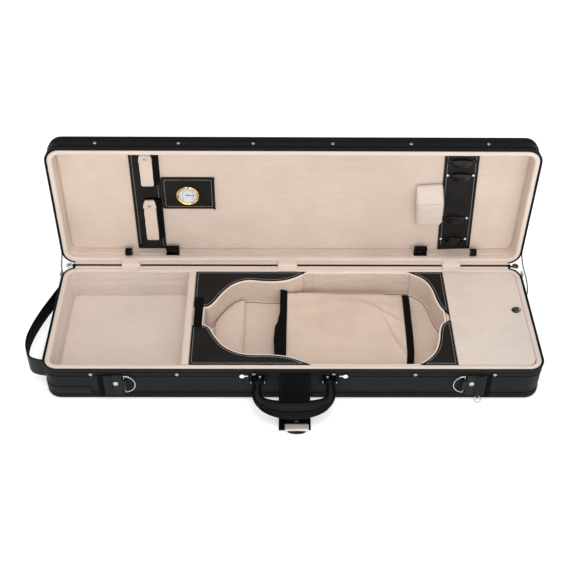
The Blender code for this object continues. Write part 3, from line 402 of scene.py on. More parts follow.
def case_ring(inset, z):
    return rounded_ring(HALF_X - inset, HALF_Y - inset, max(CORNER - inset, 0.004), z)


def soften(bm, amount, size, seed=0.0, weight=lambda co: 1.0):
    """Moves points a little along their normals in smooth noise."""
    bm.normal_update()
    for v in bm.verts:
        w = weight(v.co)
        v.co += v.normal * noise.noise(v.co / size + Vector((seed, seed * 1.7, -seed))) * amount * w


def top_outline(node, stand=None):
    """The closed edge of a flat-topped node's top face, as points in order."""
    bm = bmesh.new()
    bm.from_mesh(frame["nodes"][node].data)
    if stand:
        bm.transform(stand)
    bmesh.ops.remove_doubles(bm, verts=bm.verts, dist=1e-5)
    bm.verts.index_update()
    bm.normal_update()
    top = max(v.co.z for v in bm.verts)
    faces = {f for f in bm.faces if f.normal.z > 0.99 and abs(f.verts[0].co.z - top) < 1e-5}
    following = {}
    for edge in bm.edges:
        loops = [loop for loop in edge.link_loops if loop.face in faces]
        if len(loops) == 1:
            following[loops[0].vert.index] = loops[0].link_loop_next.vert.index
    bm.verts.ensure_lookup_table()
    order = [next(iter(following))]
    while following[order[-1]] != order[0]:
        order.append(following[order[-1]])
    points = [bm.verts[i].co.copy() for i in order]
    bm.free()
    return points


def with_inward(outline, step):
    """A closed flat line at even steps, each point with the unit vector to the line's inside."""
    points = even_path([Vector((p.x, p.y)) for p in outline], step, cyclic=True)
    area = sum(a.x * b.y - b.x * a.y for a, b in zip(points, points[1:] + points[:1]))
    pairs = []
    for i, p in enumerate(points):
        along = (points[(i + 1) % len(points)] - points[i - 1]).normalized()
        pairs.append((p, Vector((-along.y, along.x)) * (1 if area > 0 else -1)))
    return pairs


def inset_line(outline, distance, z, step=0.0012):
    """A line inside a flat closed outline at an even distance from its edge."""
    pairs = with_inward(outline, step)
    kept = []
    for p, n in pairs:
        q = p + n * distance
        if min((q - o).length_squared for o, _ in pairs) > (distance * 0.96) ** 2:
            kept.append(Vector((q.x, q.y, z)))
    return kept


def add_capsule(bm, a, b, radius, sides=6):
    along = (b - a).normalized()
    lean = Vector((0.31, 0.17, 0.93)).cross(along).normalized()
    other = along.cross(lean)
    rings = []
    for place, r in ((a - along * radius * 0.8, 0.45), (a, 1.0), ((a + b) / 2, 1.08), (b, 1.0),
                     (b + along * radius * 0.8, 0.45)):
        rings.append([place + lean * x + other * y for x, y in round_section(radius * r, sides)])
    add_rings(bm, rings)


def stitches(name, lines, body, look_name="thread", stand=None, pitch=0.0042, share=0.68, radius=0.00027):
    """Saddle stitches along lines, one capsule each. Gaps in a line are left bare."""
    bm = bmesh.new()
    for line in lines:
        runs = [[line[0]]]
        for a, b in zip(line, line[1:]):
            if (b - a).length > 0.006:
                runs.append([])
            runs[-1].append(b)
        for fine in [even_path(run, pitch / 4) for run in runs if len(run) > 2]:
            for a, b in zip(fine[:-3:4], fine[3::4]):
                half = share / 2 * 4 / 3 * 0.98
                add_capsule(bm, a.lerp(b, 0.5 - half), a.lerp(b, 0.5 + half), radius)
    return piece(name, bm, look_name, body, stand)


def cushion(name, outline, z0, z1, look_name, body, edge=0.004, crown=0.002, stands_for=(), rough=0.0006, seed=1.0,
            puff=None):
    """A crowned pad on a flat outline: flat underneath, rounded edges, sides that pull in, high in the middle."""
    pairs = with_inward(outline, 0.005)
    centre = sum([p for p, _ in pairs], Vector((0, 0))) / len(pairs)
    height = z1 - z0
    rows = [(edge * 1.2, z0), (edge * 0.3, z0 + edge * 0.25), (0.0, z0 + height * 0.5)]
    for a in spread(0, math.pi / 2, 4)[1:]:
        rise = z1 - edge * (1 - math.sin(a)) if height > edge else z0 + height * (0.5 + 0.5 * math.sin(a))
        rows.append((edge * (1 - math.cos(a)), rise))
    rings = [[Vector((p.x + n.x * d, p.y + n.y * d, z)) for p, n in pairs] for d, z in rows]

    def shrunk(ring, share, z):
        return [Vector((centre.x + (p.x - centre.x) * share, centre.y + (p.y - centre.y) * share, z))
                for p in ring]

    under, top = shrunk(rings[0], 0.5, z0), rings[-1]
    for k in range(1, 9):
        s = 1 - k / 9
        rings.append(shrunk(top, s, z1 + crown * (1 - s ** 2.2)))
    bm = ringed([under, *rings])
    soften(bm, rough, 0.025, seed, weight=lambda co: 1.0 if co.z > z0 + 0.3 * height else 0.0)
    if puff:
        bm = puffed(bm, *puff)
    piece(name, bm, look_name, body, None, stands_for)


# ---------------------------------------------------------------- trays

def make_lining(prefix, floor, under, top, stand, seed):
    """The padded tray lining: soft walls and a floor panel that meets them in a tucked seam."""
    wall = 0.0110
    rings = [case_ring(0.10, under), case_ring(0.012, under), case_ring(0.0080, under + 0.003),
             case_ring(0.0078, top), case_ring(0.0095, top + 0.0001), case_ring(wall, top - 0.001)]
    depth = top - floor - 0.004
    for share, out in ((0.15, 0.0003), (0.30, 0.0007), (0.36, 0.0001), (0.42, 0.0008), (0.60, 0.0012),
                       (0.80, 0.0010)):
        rings.append(case_ring(wall + out, top - 0.001 - depth * share))
    for out, rise in ((0.0007, 0.0026), (0.0009, 0.0012), (0.0014, -0.0008), (0.0022, -0.0018), (0.0030, -0.0004),
                      (0.0042, 0.0007), (0.0060, 0.0009), (0.0090, 0.0006), (0.0130, 0.0002)):
        rings.append(case_ring(wall + out, floor + rise))
    rings += [case_ring(inset, floor) for inset in (0.034, 0.048, 0.064, 0.080, 0.096, 0.110)]
    bm = ringed(rings)
    soften(bm, 0.0007, 0.03, seed, weight=lambda co: 1.0 if floor + 0.0001 < co.z < top - 0.002 else 0.3)
    obj = piece(prefix + "_plush_lining", bm, "plush" if stand else "base_plush", prefix, stand,
                [prefix + "_lining"])


def make_rim(prefix, z0, z1, stand, seed):
    """The rolled rim: plush over foam, rounded on both sides."""
    middle, half = 0.00735, 0.0043
    section = [(middle - half * blunt(math.cos(a), 0.7), z0 + (z1 + 0.0005 - z0) * abs(math.sin(a)) ** 0.7)
               for a in spread(0, math.pi, 10)]
    section += [(middle + half * 0.7, z0), (middle - half * 0.7, z0)]
    bm = ringed([case_ring(inset, z) for inset, z in section], closed=True)
    soften(bm, 0.0003, 0.02, seed)
    piece(prefix + "_padded_rim", bm, "rim", prefix, stand, [prefix + "_rim"])


def make_cover(prefix, height, edge, stand, seed):
    """The nylon cover, stretched over the shell; edge is its closed side as (inset, height) in millimetres."""
    wall, side, top = 0.0012, 0.0015, height - 0.0008
    rings = [case_ring(0.10, 0), case_ring(0.06, 0), case_ring(0.03, 0)]
    rings += [case_ring(inset * MM, z * MM) for inset, z in edge]
    rings += [case_ring(side, z) for z in spread(edge[-1][1] * MM, top, 6)[1:]]
    rings += [case_ring(inset, z) for inset, z in ((side + wall, top), (side + wall, 0.008), (0.0070, wall),
                                                   (0.10, wall))]
    bm = ringed(rings)
    soften(bm, 0.0004, 0.05, seed, weight=lambda co: 1.0 if 0.003 < co.z < top - 0.012 else 0.0)
    piece(prefix + "_nylon_cover", bm, "nylon", prefix, stand, [prefix + "_cover"])


def make_zip_teeth(prefix, z, stand):
    """Teeth of the zip along both ends and the side away from the hinge."""
    hinge_side = -1 if stand else 1
    path = even_path(case_ring(-0.0002, z), 0.0026, cyclic=True)
    bm = bmesh.new()
    for i, p in enumerate(path):
        if p.y * hinge_side > HALF_Y - 0.02:
            continue
        along = (path[(i + 1) % len(path)] - path[i - 1]).normalized()
        out, up = Vector((along.y, -along.x, 0)), Vector((0, 0, 1))
        add_rings(bm, [[p + up * h + along * 0.0008 * w * a + out * (0.0001 + 0.0004 * w * b)
                        for a, b in ((-1, -1), (1, -1), (1, 0.6), (0.4, 1), (-0.4, 1), (-1, 0.6))]
                       for h, w in ((-0.0013, 0.5), (-0.0008, 1.0), (0.0008, 1.0), (0.0013, 0.5))])
    piece(prefix + "_zip_teeth", bm, "teeth", prefix, stand, smooth=30)


BASE_EDGE = [(9, 0), (5.5, 0), (2.6, 0.4), (0.9, 1.8), (0.1, 4.2), (0.0, 7.0), (0.6, 9.6), (1.3, 11.2), (1.5, 13)]
LID_EDGE = [(9, 0), (6.0, 0), (3.4, 0.7), (1.6, 2.4), (0.9, 5.0), (0.9, 7.2), (1.4, 9.0), (1.5, 12)]
# Bands round the case: name, lower edge, upper edge and look; piping: name, inset, height and radius
BAND_INSET, BAND_THICK, BAND_CROWN = 0.0011, 0.0010, 0.0003
BANDS = {
    "base": [("middle_band", 0.0150, 0.0500, "nylon_band"), ("upper_binding", 0.0518, 0.0595, "binding")],
    "lid": [("middle_band", 0.0150, 0.0270, "nylon_band")],
}
PIPING = {
    "base": [("lower_piping", 0.0012, 0.0128, 0.0012), ("upper_piping", 0.0013, 0.0510, 0.0012)],
    "lid": [("lower_piping", 0.0014, 0.0130, 0.0014), ("upper_piping", 0.0014, 0.0284, 0.0012)],
}


def make_trays():
    make_cover("base", BASE_TOP, BASE_EDGE, None, 3.0)
    make_cover("lid", LID_DEPTH, LID_EDGE, LID, 5.0)
    make_lining("base", 0.0130, 0.0060, BASE_TOP - 0.0045, None, 1.0)
    make_lining("lid", LID_FLOOR, 0.0052, LID_DEPTH - 0.0045, LID, 2.0)
    make_rim("base", BASE_TOP - 0.0042, BASE_TOP, None, 4.0)
    make_rim("lid", LID_DEPTH - 0.0042, LID_DEPTH, LID, 6.0)
    for prefix, stand in (("base", None), ("lid", LID)):
        for name, z0, z1, look_name in BANDS[prefix]:
            rings = [case_ring(inset, z) for inset, z in (
                (BAND_INSET + BAND_THICK, z0), (BAND_INSET, z0 + 0.0004), (BAND_INSET - BAND_CROWN, (z0 + z1) / 2),
                (BAND_INSET, z1 - 0.0004), (BAND_INSET + BAND_THICK, z1))]
            piece(f"{prefix}_{name}", ringed(rings, closed=True), look_name, prefix, stand)
        for name, inset, z, radius in PIPING[prefix]:
            rings = [case_ring(inset + a, z + b) for a, b in round_section(radius, 8)]
            piece(f"{prefix}_{name}", ringed(rings, closed=True), "binding", prefix, stand)
    make_zip_teeth("base", BASE_TOP - 0.0015, None)
    make_zip_teeth("lid", LID_DEPTH - 0.0015, LID)


# ---------------------------------------------------------------- violin bay

def new_object(bm, name="cloth"):
    mesh = bpy.data.meshes.new(name)
    bm.to_mesh(mesh)
    bm.free()
    obj = bpy.data.objects.new(name, mesh)
    bpy.context.scene.collection.objects.link(obj)
    return obj


def evaluated(obj):
    return bpy.data.meshes.new_from_object(obj.evaluated_get(bpy.context.evaluated_depsgraph_get()))


def puffed(bm, cell, cap):
    """Blows a closed shape up as cloth: an even mesh, a few frames of pressure, no point moved past the cap."""
    obj = new_object(bm)
    remesh = obj.modifiers.new("Remesh", "REMESH")
    remesh.mode = "VOXEL"
    remesh.voxel_size = cell
    even = evaluated(obj)
    obj.modifiers.clear()
    obj.data = even
    start = [v.co.copy() for v in even.vertices]
    low = min(p.z for p in start)
    pins = obj.vertex_groups.new(name="pins")
    pins.add([i for i, p in enumerate(start) if p.z < low + 0.2 * cell], 1.0, "REPLACE")
    cloth = obj.modifiers.new("Cloth", "CLOTH")
    for name, value in (("quality", 4), ("mass", 0.2), ("tension_stiffness", 12), ("compression_stiffness", 12),
                        ("bending_stiffness", 0.3), ("use_pressure", True), ("uniform_pressure_force", 4.0),
                        ("vertex_group_mass", "pins")):
        setattr(cloth.settings, name, value)
    cloth.settings.effector_weights.gravity = 0
    cloth.point_cache.frame_start = 1
    cloth.point_cache.frame_end = 20
    scene = bpy.context.scene
    for number in range(1, 21):
        scene.frame_set(number)
    blown = obj.evaluated_get(bpy.context.evaluated_depsgraph_get()).to_mesh()
    result = bmesh.new()
    result.from_mesh(even)
    for v, moved, first in zip(result.verts, blown.vertices, start):
        step = moved.co - first
        if step.length > cap:
            step *= cap / step.length
        v.co = first + step
    bmesh.ops.smooth_vert(result, verts=result.verts, factor=0.3, use_axis_x=True, use_axis_y=True,
                          use_axis_z=True)
    bpy.data.objects.remove(obj)
    scene.frame_set(1)
    fine = new_object(result)
    fine.modifiers.new("Subdivision", "SUBSURF").levels = 1
    result = bmesh.new()
    result.from_mesh(evaluated(fine))
    bpy.data.objects.remove(fine)
    return result


BAY_X = 0.045
BAY_CENTRE = Vector((BAY_X, 0.0))
PLEATS = [(-0.087, 1), (0.028, 1), (0.0335, 1), (0.192, 1), (-0.112, 1), (-0.060, -1), (0.05, -1), (0.15, -1)]


def bay_outline():
    """The hole in the insert, read from the CAD node: its inner upright faces at the top."""
    bm = bmesh.new()
    bm.from_mesh(frame["nodes"]["bay_insert"].data)
    bmesh.ops.remove_doubles(bm, verts=bm.verts, dist=1e-5)
    low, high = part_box("bay_insert")
    points = {}
    for x, y, z in [v.co for v in bm.verts]:
        inside = low.x + 1e-4 < x < high.x - 1e-4 and low.y + 1e-4 < y < high.y - 1e-4
        if inside and abs(z - high.z) < 1e-5:
            points[math.atan2(y, x - BAY_X)] = Vector((x, y))
    bm.free()
    return [points[a] for a in sorted(points)]


def make_bay():
    low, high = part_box("bay_insert")
    bottom, top = low.z, high.z
    pairs = [(p, n if n.dot(p - BAY_CENTRE) < 0 else -n)
             for p, n in with_inward(smooth_path(bay_outline(), 2, cyclic=True), 0.0026)]
    border = []
    for p, _ in pairs:
        d = p - BAY_CENTRE
        t = min(((high if d[i] > 0 else low)[i] - BAY_CENTRE[i]) / d[i] if abs(d[i]) > 1e-6 else 1e9
                for i in (0, 1))
        border.append(BAY_CENTRE + d * t)
    for corner in (Vector((x, y)) for x in (low.x, high.x) for y in (low.y, high.y)):
        border[min(range(len(border)), key=lambda i: (border[i] - corner).length)] = corner

    def at(out, z):
        return [Vector((p.x - n.x * out, p.y - n.y * out, z)) for p, n in pairs]

    levels = 12
    rings = [at(0.0, bottom)]
    for share in spread(0, 1, levels)[1:]:
        rings.append(at(0.0006 * math.sin(math.pi * share), bottom + (top - 0.003 - bottom) * share))
    for a in spread(math.pi, 0, 6):
        rings.append(at(0.0012 + 0.0012 * math.cos(a), top - 0.0008 + 0.0010 * math.sin(a)))
    rings += [[Vector((p.x, p.y, z)) for p in border] for z in (top, bottom)]
    bm = ringed(rings, closed=True)
    bm.verts.ensure_lookup_table()
    for r in range(1, levels + 2):
        for i, (p, n) in enumerate(pairs):
            swell = -0.0011 * noise.noise(Vector((i * 0.11, r * 0.35, 4.0)))
            for x, side in PLEATS:
                if side * p.y > 0.02:
                    swell += 0.0016 * math.exp(-((p.x - x) / 0.0020) ** 2)
            bm.verts[r * len(pairs) + i].co -= Vector((n.x, n.y, 0)) * swell
    piece("bay_foam_and_skin", bm, "plush", "base", None, ["bay_insert"])
    piece("bay_piping", swept(at(0.0012, top + 0.0010), round_section(0.0014, 8), cyclic=True), "piping", "base")
    foot = at(-0.0006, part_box("bay_floor_pad")[1].z + 0.0012)
    piece("bay_foot_piping", swept(foot, round_section(0.0011, 8), cyclic=True), "rim", "base")

    pads = {name: (top_outline(name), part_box(name)[0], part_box(name)[1].z)
            for name in ("bay_floor_pad", "upper_bout_pad", "lower_bout_pad")}
    outline, pad_low, pad_top = pads["bay_floor_pad"]
    cushion("bay_floor_cushion", outline, pad_low.z, pad_top, "plush", "base", edge=0.003, crown=0.0004,
            stands_for=["bay_floor_pad"], seed=7.0)
    outline, pad_low, pad_top = pads["upper_bout_pad"]
    tip = pad_low.x + 0.016
    shaped = [Vector((p.x if p.x > tip else tip + (p.x - tip) * 0.15, p.y)) for p in outline]
    cushion("upper_bout_cushion", shaped, pad_low.z, pad_top - 0.0015, "plush", "base", edge=0.0035, crown=0.0020,
            stands_for=["upper_bout_pad"], seed=8.0, puff=(0.0035, 0.002))
    outline, pad_low, pad_top = pads["lower_bout_pad"]
    cushion("lower_bout_cushion", outline, pad_low.z, pad_top - 0.0008, "plush", "base", edge=0.0045, crown=0.0006,
            stands_for=["lower_bout_pad"], seed=9.0)


def make_divider(side, look_name, radius, seed):
    """A padded cross wall with a rounded top."""
    low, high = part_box(f"divider_{side}")
    (x0, x1), (z0, z1) = (low.x, high.x), (low.z, high.z)
    arc = [(radius * (1 - math.cos(t)), z1 - radius * (1 - math.sin(t))) for t in (0.4, 0.8, 1.2, math.pi / 2)]
    left = [(x0, z0), (x0, (z0 + z1) / 2), (x0, z1 - radius), *[(x0 + a, z) for a, z in arc]]
    right = [*[(x1 - a, z) for a, z in arc[::-1]], (x1, z1 - radius), (x1, (z0 + z1) / 2), (x1, z0)]
    section = [*left, ((x0 + x1) / 2, z1 + 0.0003), *right]
    bm = ringed([[Vector((x, y, z)) for x, z in section] for y in spread(low.y, high.y, 40)])
    soften(bm, 0.0003, 0.02, seed, weight=lambda co: 1.0 if co.z > z0 + 0.002 else 0.0)
    piece(f"divider_{side}_plush", bm, look_name, "base", None, [f"divider_{side}"])


def make_panel_stitching():
    lines = [inset_line(top_outline(node), 0.0032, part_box(node)[1].z + 0.0001) for node in PANELS]
    stitches("panel_stitching", lines, "base")


BLANKET_LEVEL = 0.0385
# The blanket's folds: a soft ridge through (x, y), turned by lean, with its width, length and height
FOLDS = [(0.150, 0.040, 0.60, 0.0060, 0.038, 0.0024), (0.158, 0.000, 1.25, 0.0055, 0.050, 0.0028),
         (0.176, -0.045, 1.00, 0.0070, 0.040, 0.0022), (0.128, 0.058, 0.15, 0.0080, 0.050, 0.0016),
         (0.070, -0.060, 0.05, 0.0110, 0.110, 0.0018), (0.030, 0.050, -0.30, 0.0120, 0.060, 0.0014)]
# The blanket's bands, in millimetres: (y, left edge, right edge) from the back to the front
BLANKET_BANDS = {
    "left": [(82, -20.5, -8.0), (30, -21.5, -9.2), (12, -24.5, -9.8), (-5, -30.0, -10.4), (-30, -31.8, -10.8),
             (-81, -30.0, -11.8)],
    "right": [(91, 190.5, 203.0), (60, 190.0, 202.2), (25, 188.8, 200.8), (-10, 187.8, 199.8), (-40, 186.8, 198.5),
              (-90, 182.2, 194.0)],
}


def blanket_top(x, y):
    """Height of the blanket's upper side: lifted at its left end, sagging to the right, with soft folds."""
    low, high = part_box("blanket")
    u = (x - low.x) / (high.x - low.x)
    height = BLANKET_LEVEL - 0.0030 * u
    height += 0.0110 * max(0.0, 1 - u / 0.28) ** 1.5 * (0.55 + 0.45 * (y / 0.08))
    height -= 0.0070 * max(0.0, (u - 0.80) / 0.20) ** 1.4 * max(0.0, (y + 0.02) / 0.11)
    height -= 0.0075 * min(1.4, max(0.0, (-y - 0.070) / 0.018)) ** 1.8
    height -= 0.0040 * min(1.3, max(0.0, (y - 0.080) / 0.014)) ** 2
    for cx, cy, lean, wide, long, rise in FOLDS:
        c, s = math.cos(lean), math.sin(lean)
        along = (x - cx) * c - (y - cy) * s
        across = (x - cx) * s + (y - cy) * c
        shape = math.exp(-(across / wide) ** 2) - 0.5 * math.exp(-((across - 1.7 * wide) / wide) ** 2)
        height += rise * shape * math.exp(-(along / long) ** 4)
    return height + 0.0016 * noise.noise(Vector((x / 0.060, y / 0.050, 3.1)))


def make_blanket():
    low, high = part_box("blanket")
    nx, ny, thick = 56, 48, 0.0075
    bm = bmesh.new()
    top, bottom = {}, {}
    for i in range(nx + 1):
        u = i / nx
        half = 0.0805 + 0.0135 * min(1.0, max(0.0, (u - 0.02) / 0.2)) ** 0.7
        for j in range(ny + 1):
            x, y = low.x + 0.003 + (high.x - low.x - 0.006) * u, half * (2 * j / ny - 1)
            full = thick * {0: 0.45, 1: 0.75, 2: 0.92}.get(min(i, nx - i, j, ny - j), 1.0)
            z = BLANKET_LEVEL - 0.0005 - (thick - full) / 2
            top[i, j] = bm.verts.new((x, y, z))
            bottom[i, j] = bm.verts.new((x, y, z - full))
    for i in range(nx):
        for j in range(ny):
            bm.faces.new((top[i, j], top[i + 1, j], top[i + 1, j + 1], top[i, j + 1]))
            bm.faces.new((bottom[i, j], bottom[i, j + 1], bottom[i + 1, j + 1], bottom[i + 1, j]))
    edge = ([(i, 0) for i in range(nx)] + [(nx, j) for j in range(ny)] + [(i, ny) for i in range(nx, 0, -1)]
            + [(0, j) for j in range(ny, 0, -1)])
    for a, b in zip(edge, edge[1:] + edge[:1]):
        bm.faces.new((top[a], bottom[a], bottom[b], top[b]))
    bmesh.ops.recalc_face_normals(bm, faces=bm.faces)
    bm = puffed(bm, 0.0042, 0.0012)
    for v in bm.verts:
        share = min(1.0, max(0.0, (v.co.z - 0.0300) / 0.0080))
        v.co.z += (blanket_top(v.co.x, v.co.y) - BLANKET_LEVEL) * (0.55 + 0.45 * share)
    piece("padded_blanket", bm, "cloth", "blanket", None, ["blanket"])
    for name, edges in BLANKET_BANDS.items():
        rings = []
        for y in spread(edges[-1][0] * MM, edges[0][0] * MM, 40):
            a, b = (between([(row[0] * MM, row[side] * MM) for row in edges], y) for side in (1, 2))
            ring = [Vector((x, y, blanket_top(max(x, low.x + 0.002), y) + 0.0011
                            + 0.0006 * math.sin(math.pi * q / 8)))
                    for q, x in enumerate(spread(a, b, 8))]
            rings.append(ring + [p - Vector((0, 0, 0.0016)) for p in ring[::-1]])
        piece(f"blanket_band_{name}", ringed(rings), "velcro", "blanket")


def between(pairs, y):
    """The value at y in a list of (y, value) pairs that runs downwards."""
    for (y0, v0), (y1, v1) in zip(pairs, pairs[1:]):
        if y >= y1:
            t = min(1.0, max(0.0, (y0 - y) / (y0 - y1)))
            return v0 + (v1 - v0) * (3 * t * t - 2 * t ** 3 if abs(v1 - v0) > 0.002 else t)
    return pairs[-1][1]


def make_neck_strap():
    low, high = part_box("neck_strap")
    line = [Vector(((low.x + high.x) / 2, y, (low.z + high.z) / 2)) for y in spread(low.y, high.y, 24)]
    bm = swept(line, strap_section(high.x - low.x, high.z - low.z, crown=0.0005))
    soften(bm, 0.0003, 0.012, 2.0)
    piece("neck_strap_cloth", bm, "velcro", "neck_strap", None, ["neck_strap"])


def make_accessory_lid():
    low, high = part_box("accessory_lid")
    middle = (low + high) / 2
    points = {}
    for v in frame["nodes"]["accessory_lid"].data.vertices:
        if abs(v.co.z - low.z) < 1e-5:
            points[round(math.atan2(v.co.y - middle.y, v.co.x - middle.x), 5)] = Vector((v.co.x, v.co.y))
    cushion("accessory_lid_padding", [points[a] for a in sorted(points)], low.z, high.z - 0.0002, "base_plush",
            "accessory_lid", edge=0.0009, crown=0.0006, stands_for=["accessory_lid"], seed=14.0, rough=0.0005)


# ---------------------------------------------------------------- outside of the base

def add_rivet(bm, place, direction, radius=0.0030, height=0.0014, hollows=None):
    """A domed rivet; a hollow one gets a black plug in its middle, painted shade for its hole."""
    profile = [(0.0002, -0.0004), (radius * 0.9, -0.0004), (radius, 0.0002), (radius * 0.93, height * 0.5),
               (radius * 0.72, height * 0.9), (radius * 0.52, height), (radius * 0.36, height * 0.85),
               (radius * 0.22, height * 0.45), (0.0002, height * 0.4)]
    add_turned(bm, profile, facing(direction, place))
    if hollows:
        hole = [(0.0001, height * 0.3), (radius * 0.31, height * 0.3), (radius * 0.31, height * 0.8),
                (0.0001, height * 0.78)]
        add_turned(hollows, hole, facing(direction, place), 12)


def make_rivets():
    for body, stand, xs, y, side_x, z in (
            ("base", None, (-318, -183, -62.5, 62.5, 191, 316), FRONT_Y - 0.0004, HALF_X - 0.0011, 0.0558),
            ("lid", LID, (-315, -183, -64.5, 61.5, 186, 309), HALF_Y - 0.0010, HALF_X - 0.0010, 0.0220)):
        bm, holes = bmesh.new(), bmesh.new()
        for x in xs:
            add_rivet(bm, (x * MM, y, z), (0, math.copysign(1, y), 0), hollows=holes)
        for side in (-1, 1):
            for end_y in (-0.045, 0.050):
                add_rivet(bm, (side * side_x, end_y, z), (side, 0, 0), hollows=holes)
        if body == "base":
            for x, out, z, radius, height in ((-280.5, 0.0028, 0.0365, 0.0043, 0.0010),
                                              (281.5, 0.0028, 0.0365, 0.0043, 0.0010),
                                              (-53.0, 0.0018, 0.0520, 0.0026, 0.0014),
                                              (53.0, 0.0018, 0.0520, 0.0026, 0.0014)):
                add_rivet(bm, (x * MM, FRONT_Y - out, z), (0, -1, 0), radius, height)
        piece(f"{body}_rivets", bm, "steel", body, stand)
        # the black plugs in the hollow rivets are painted shade
        piece(f"{body}_rivet_hollows", holes, "ink", body, stand)


# One half of the grip's middle line and its half width: (across, out from the wall, half width)
HANDLE_PATH = [(56.5, 0, 6.6), (57.8, 12, 7.2), (58.0, 22, 7.8), (52, 32.5, 9.3), (38, 40.3, 12), (19, 44.6, 14),
               (0, 45.4, 14.4)]
# Section of the grip in shares of its radius (outwards, up): a broad top, a raised bead, then the front face
GRIP_SECTION = [(-1, 0.02), (-0.92, 0.32), (-0.66, 0.46), (-0.10, 0.50), (0.30, 0.47), (0.44, 0.56), (0.56, 0.54),
                (0.62, 0.34), (0.80, 0.26), (0.98, 0.06), (0.96, -0.22), (0.66, -0.46), (0.05, -0.58), (-0.62, -0.50),
                (-0.93, -0.30)]
SLEEVE = [(0.0021, -0.0079), (0.0043, -0.0079), (0.0049, -0.0072), (0.0049, 0.0072), (0.0043, 0.0079),
          (0.0021, 0.0079)]
HANDLE_PIVOT = Vector((0, -0.1270, 0.0470))
HANDLE_DROOP = math.radians(22)


def make_handle():
    half = mm(HANDLE_PATH)
    path = smooth_path([*half, *[Vector((-p.x, p.y, p.z)) for p in half[-2::-1]]], 6)
    section = smooth_path(GRIP_SECTION, 3, cyclic=True)
    arm = [Vector((math.cos(t), 0.62 * math.sin(t))) for t in spread(math.pi, -math.pi, len(section))]
    middle = Vector((0, 0.02))
    rings = []
    for i, p in enumerate(path):
        along = (path[min(i + 1, len(path) - 1)] - path[max(i - 1, 0)]).xy.normalized()
        out = Vector((along.y, -along.x))
        if out.dot(p.xy - middle) < 0:
            out = -out
        share = min(1.0, max(0.0, (p.z - 0.0072) / 0.0035))
        blend = [on_arm.lerp(on_grip, share) * p.z for on_grip, on_arm in zip(section, arm)]
        rings.append([Vector((p.x + out.x * q.x, -(p.y + out.y * q.x), q.y)) for q in blend])
    bm = ringed(rings)
    for sign in (-1, 1):
        add_rings(bm, [[Vector((sign * 0.0565 + x, y, z)) for y, z in round_section(r, 20)] for r, x in SLEEVE],
                  closed=True)
    stand = Matrix.Translation(HANDLE_PIVOT) @ Matrix.Rotation(HANDLE_DROOP, 4, "X")
    piece("moulded_handle", bm, "moulded", "handle", stand, ["handle_grip"])


# The latch's catch plate from the side, in millimetres: (y, whether from its back edge, z, whether from its top)
CATCH_PLATE = [(0.6, False, 0, False), (0, False, 1.0, False), (0.1, False, -1.2, True), (0.9, False, -0.2, True),
               (2.2, False, 0, True), (-5.2, True, 0, True), (-4.9, True, -0.6, True), (-4.4, True, -0.6, True),
               (-4.1, True, 0, True), (-1.2, True, 0, True), (-0.2, True, -0.8, True), (0, True, -2.2, True),
               (0, True, 0, False)]
LATCH_KNOB = [(0.0002, 0), (0.0048, 0), (0.0056, 0.0010), (0.0056, 0.0032), (0.0046, 0.0040), (0.0002, 0.0041)]
LATCH_STRAP = [(-121.2, 55.5), (-122.0, 46), (-126.2, 27.4), (-134.4, 14.5), (-149.4, 6.9), (-166, 4.9)]


def make_latch_trim():
    """The rolled catch plate on the strap's end, its wire bail, and the dark knob under its front edge."""
    low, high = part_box("latch_catch")
    back = high.y - 0.0032
    section = [((back if at_back else low.y) + y * MM, (high.z if at_top else low.z) + z * MM)
               for y, at_back, z, at_top in CATCH_PLATE]
    rings = []
    for t in spread(-1, 1, 16):
        x = (low.x + high.x) / 2 + t * (high.x - low.x) / 2
        pull = 0.0008 * max(0.0, (abs(t) - 0.93) / 0.07)
        rings.append([Vector((x, y + pull if y < back - 0.006 else y - pull,
                              z - (pull if z > low.z + 0.001 else 0)))
                      for y, z in section])
    piece("latch_catch_plate", ringed(rings), "satin", "latch", None, ["latch_catch"], smooth=35)
    z = low.z + 0.0016
    half = [(0.0005, back - 0.001, z), (0.0005, back + 0.0036, z + 0.0004), (0.0030, back + 0.0056, z + 0.0004)]
    loop = half + [(0.0090 - x, y, z) for x, y, z in half[::-1]]
    piece("latch_bail", swept(smooth_path(loop, 5), round_section(0.0006, 8)), "steel", "latch")
    knob = (Matrix.Translation(((low.x + high.x) / 2, low.y + 0.0030, 0.0006))
            @ Matrix.Diagonal((2.6, 1.0, 1.0, 1.0)))
    piece("latch_knob", turned(LATCH_KNOB, knob, 24), "binding", "latch")
    flap_low, flap_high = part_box("latch_flap")
    path = smooth_path(mm(LATCH_STRAP), 6)
    lines = [[Vector((x, p.x, p.y)) for p in path] for x in (flap_low.x + 0.0035, flap_high.x - 0.0035)]
    stitches("latch_stitching", lines, "latch", "black_thread")


# Each ring tab's outline, the smooth strap end over its outer side, and the webbing beside it, along x
RING_TABS = {"left": ((-0.299, -0.270), (-0.2990, -0.2855), -0.3045),
             "right": ((0.273, 0.304), (0.2872, 0.3010), 0.3088)}


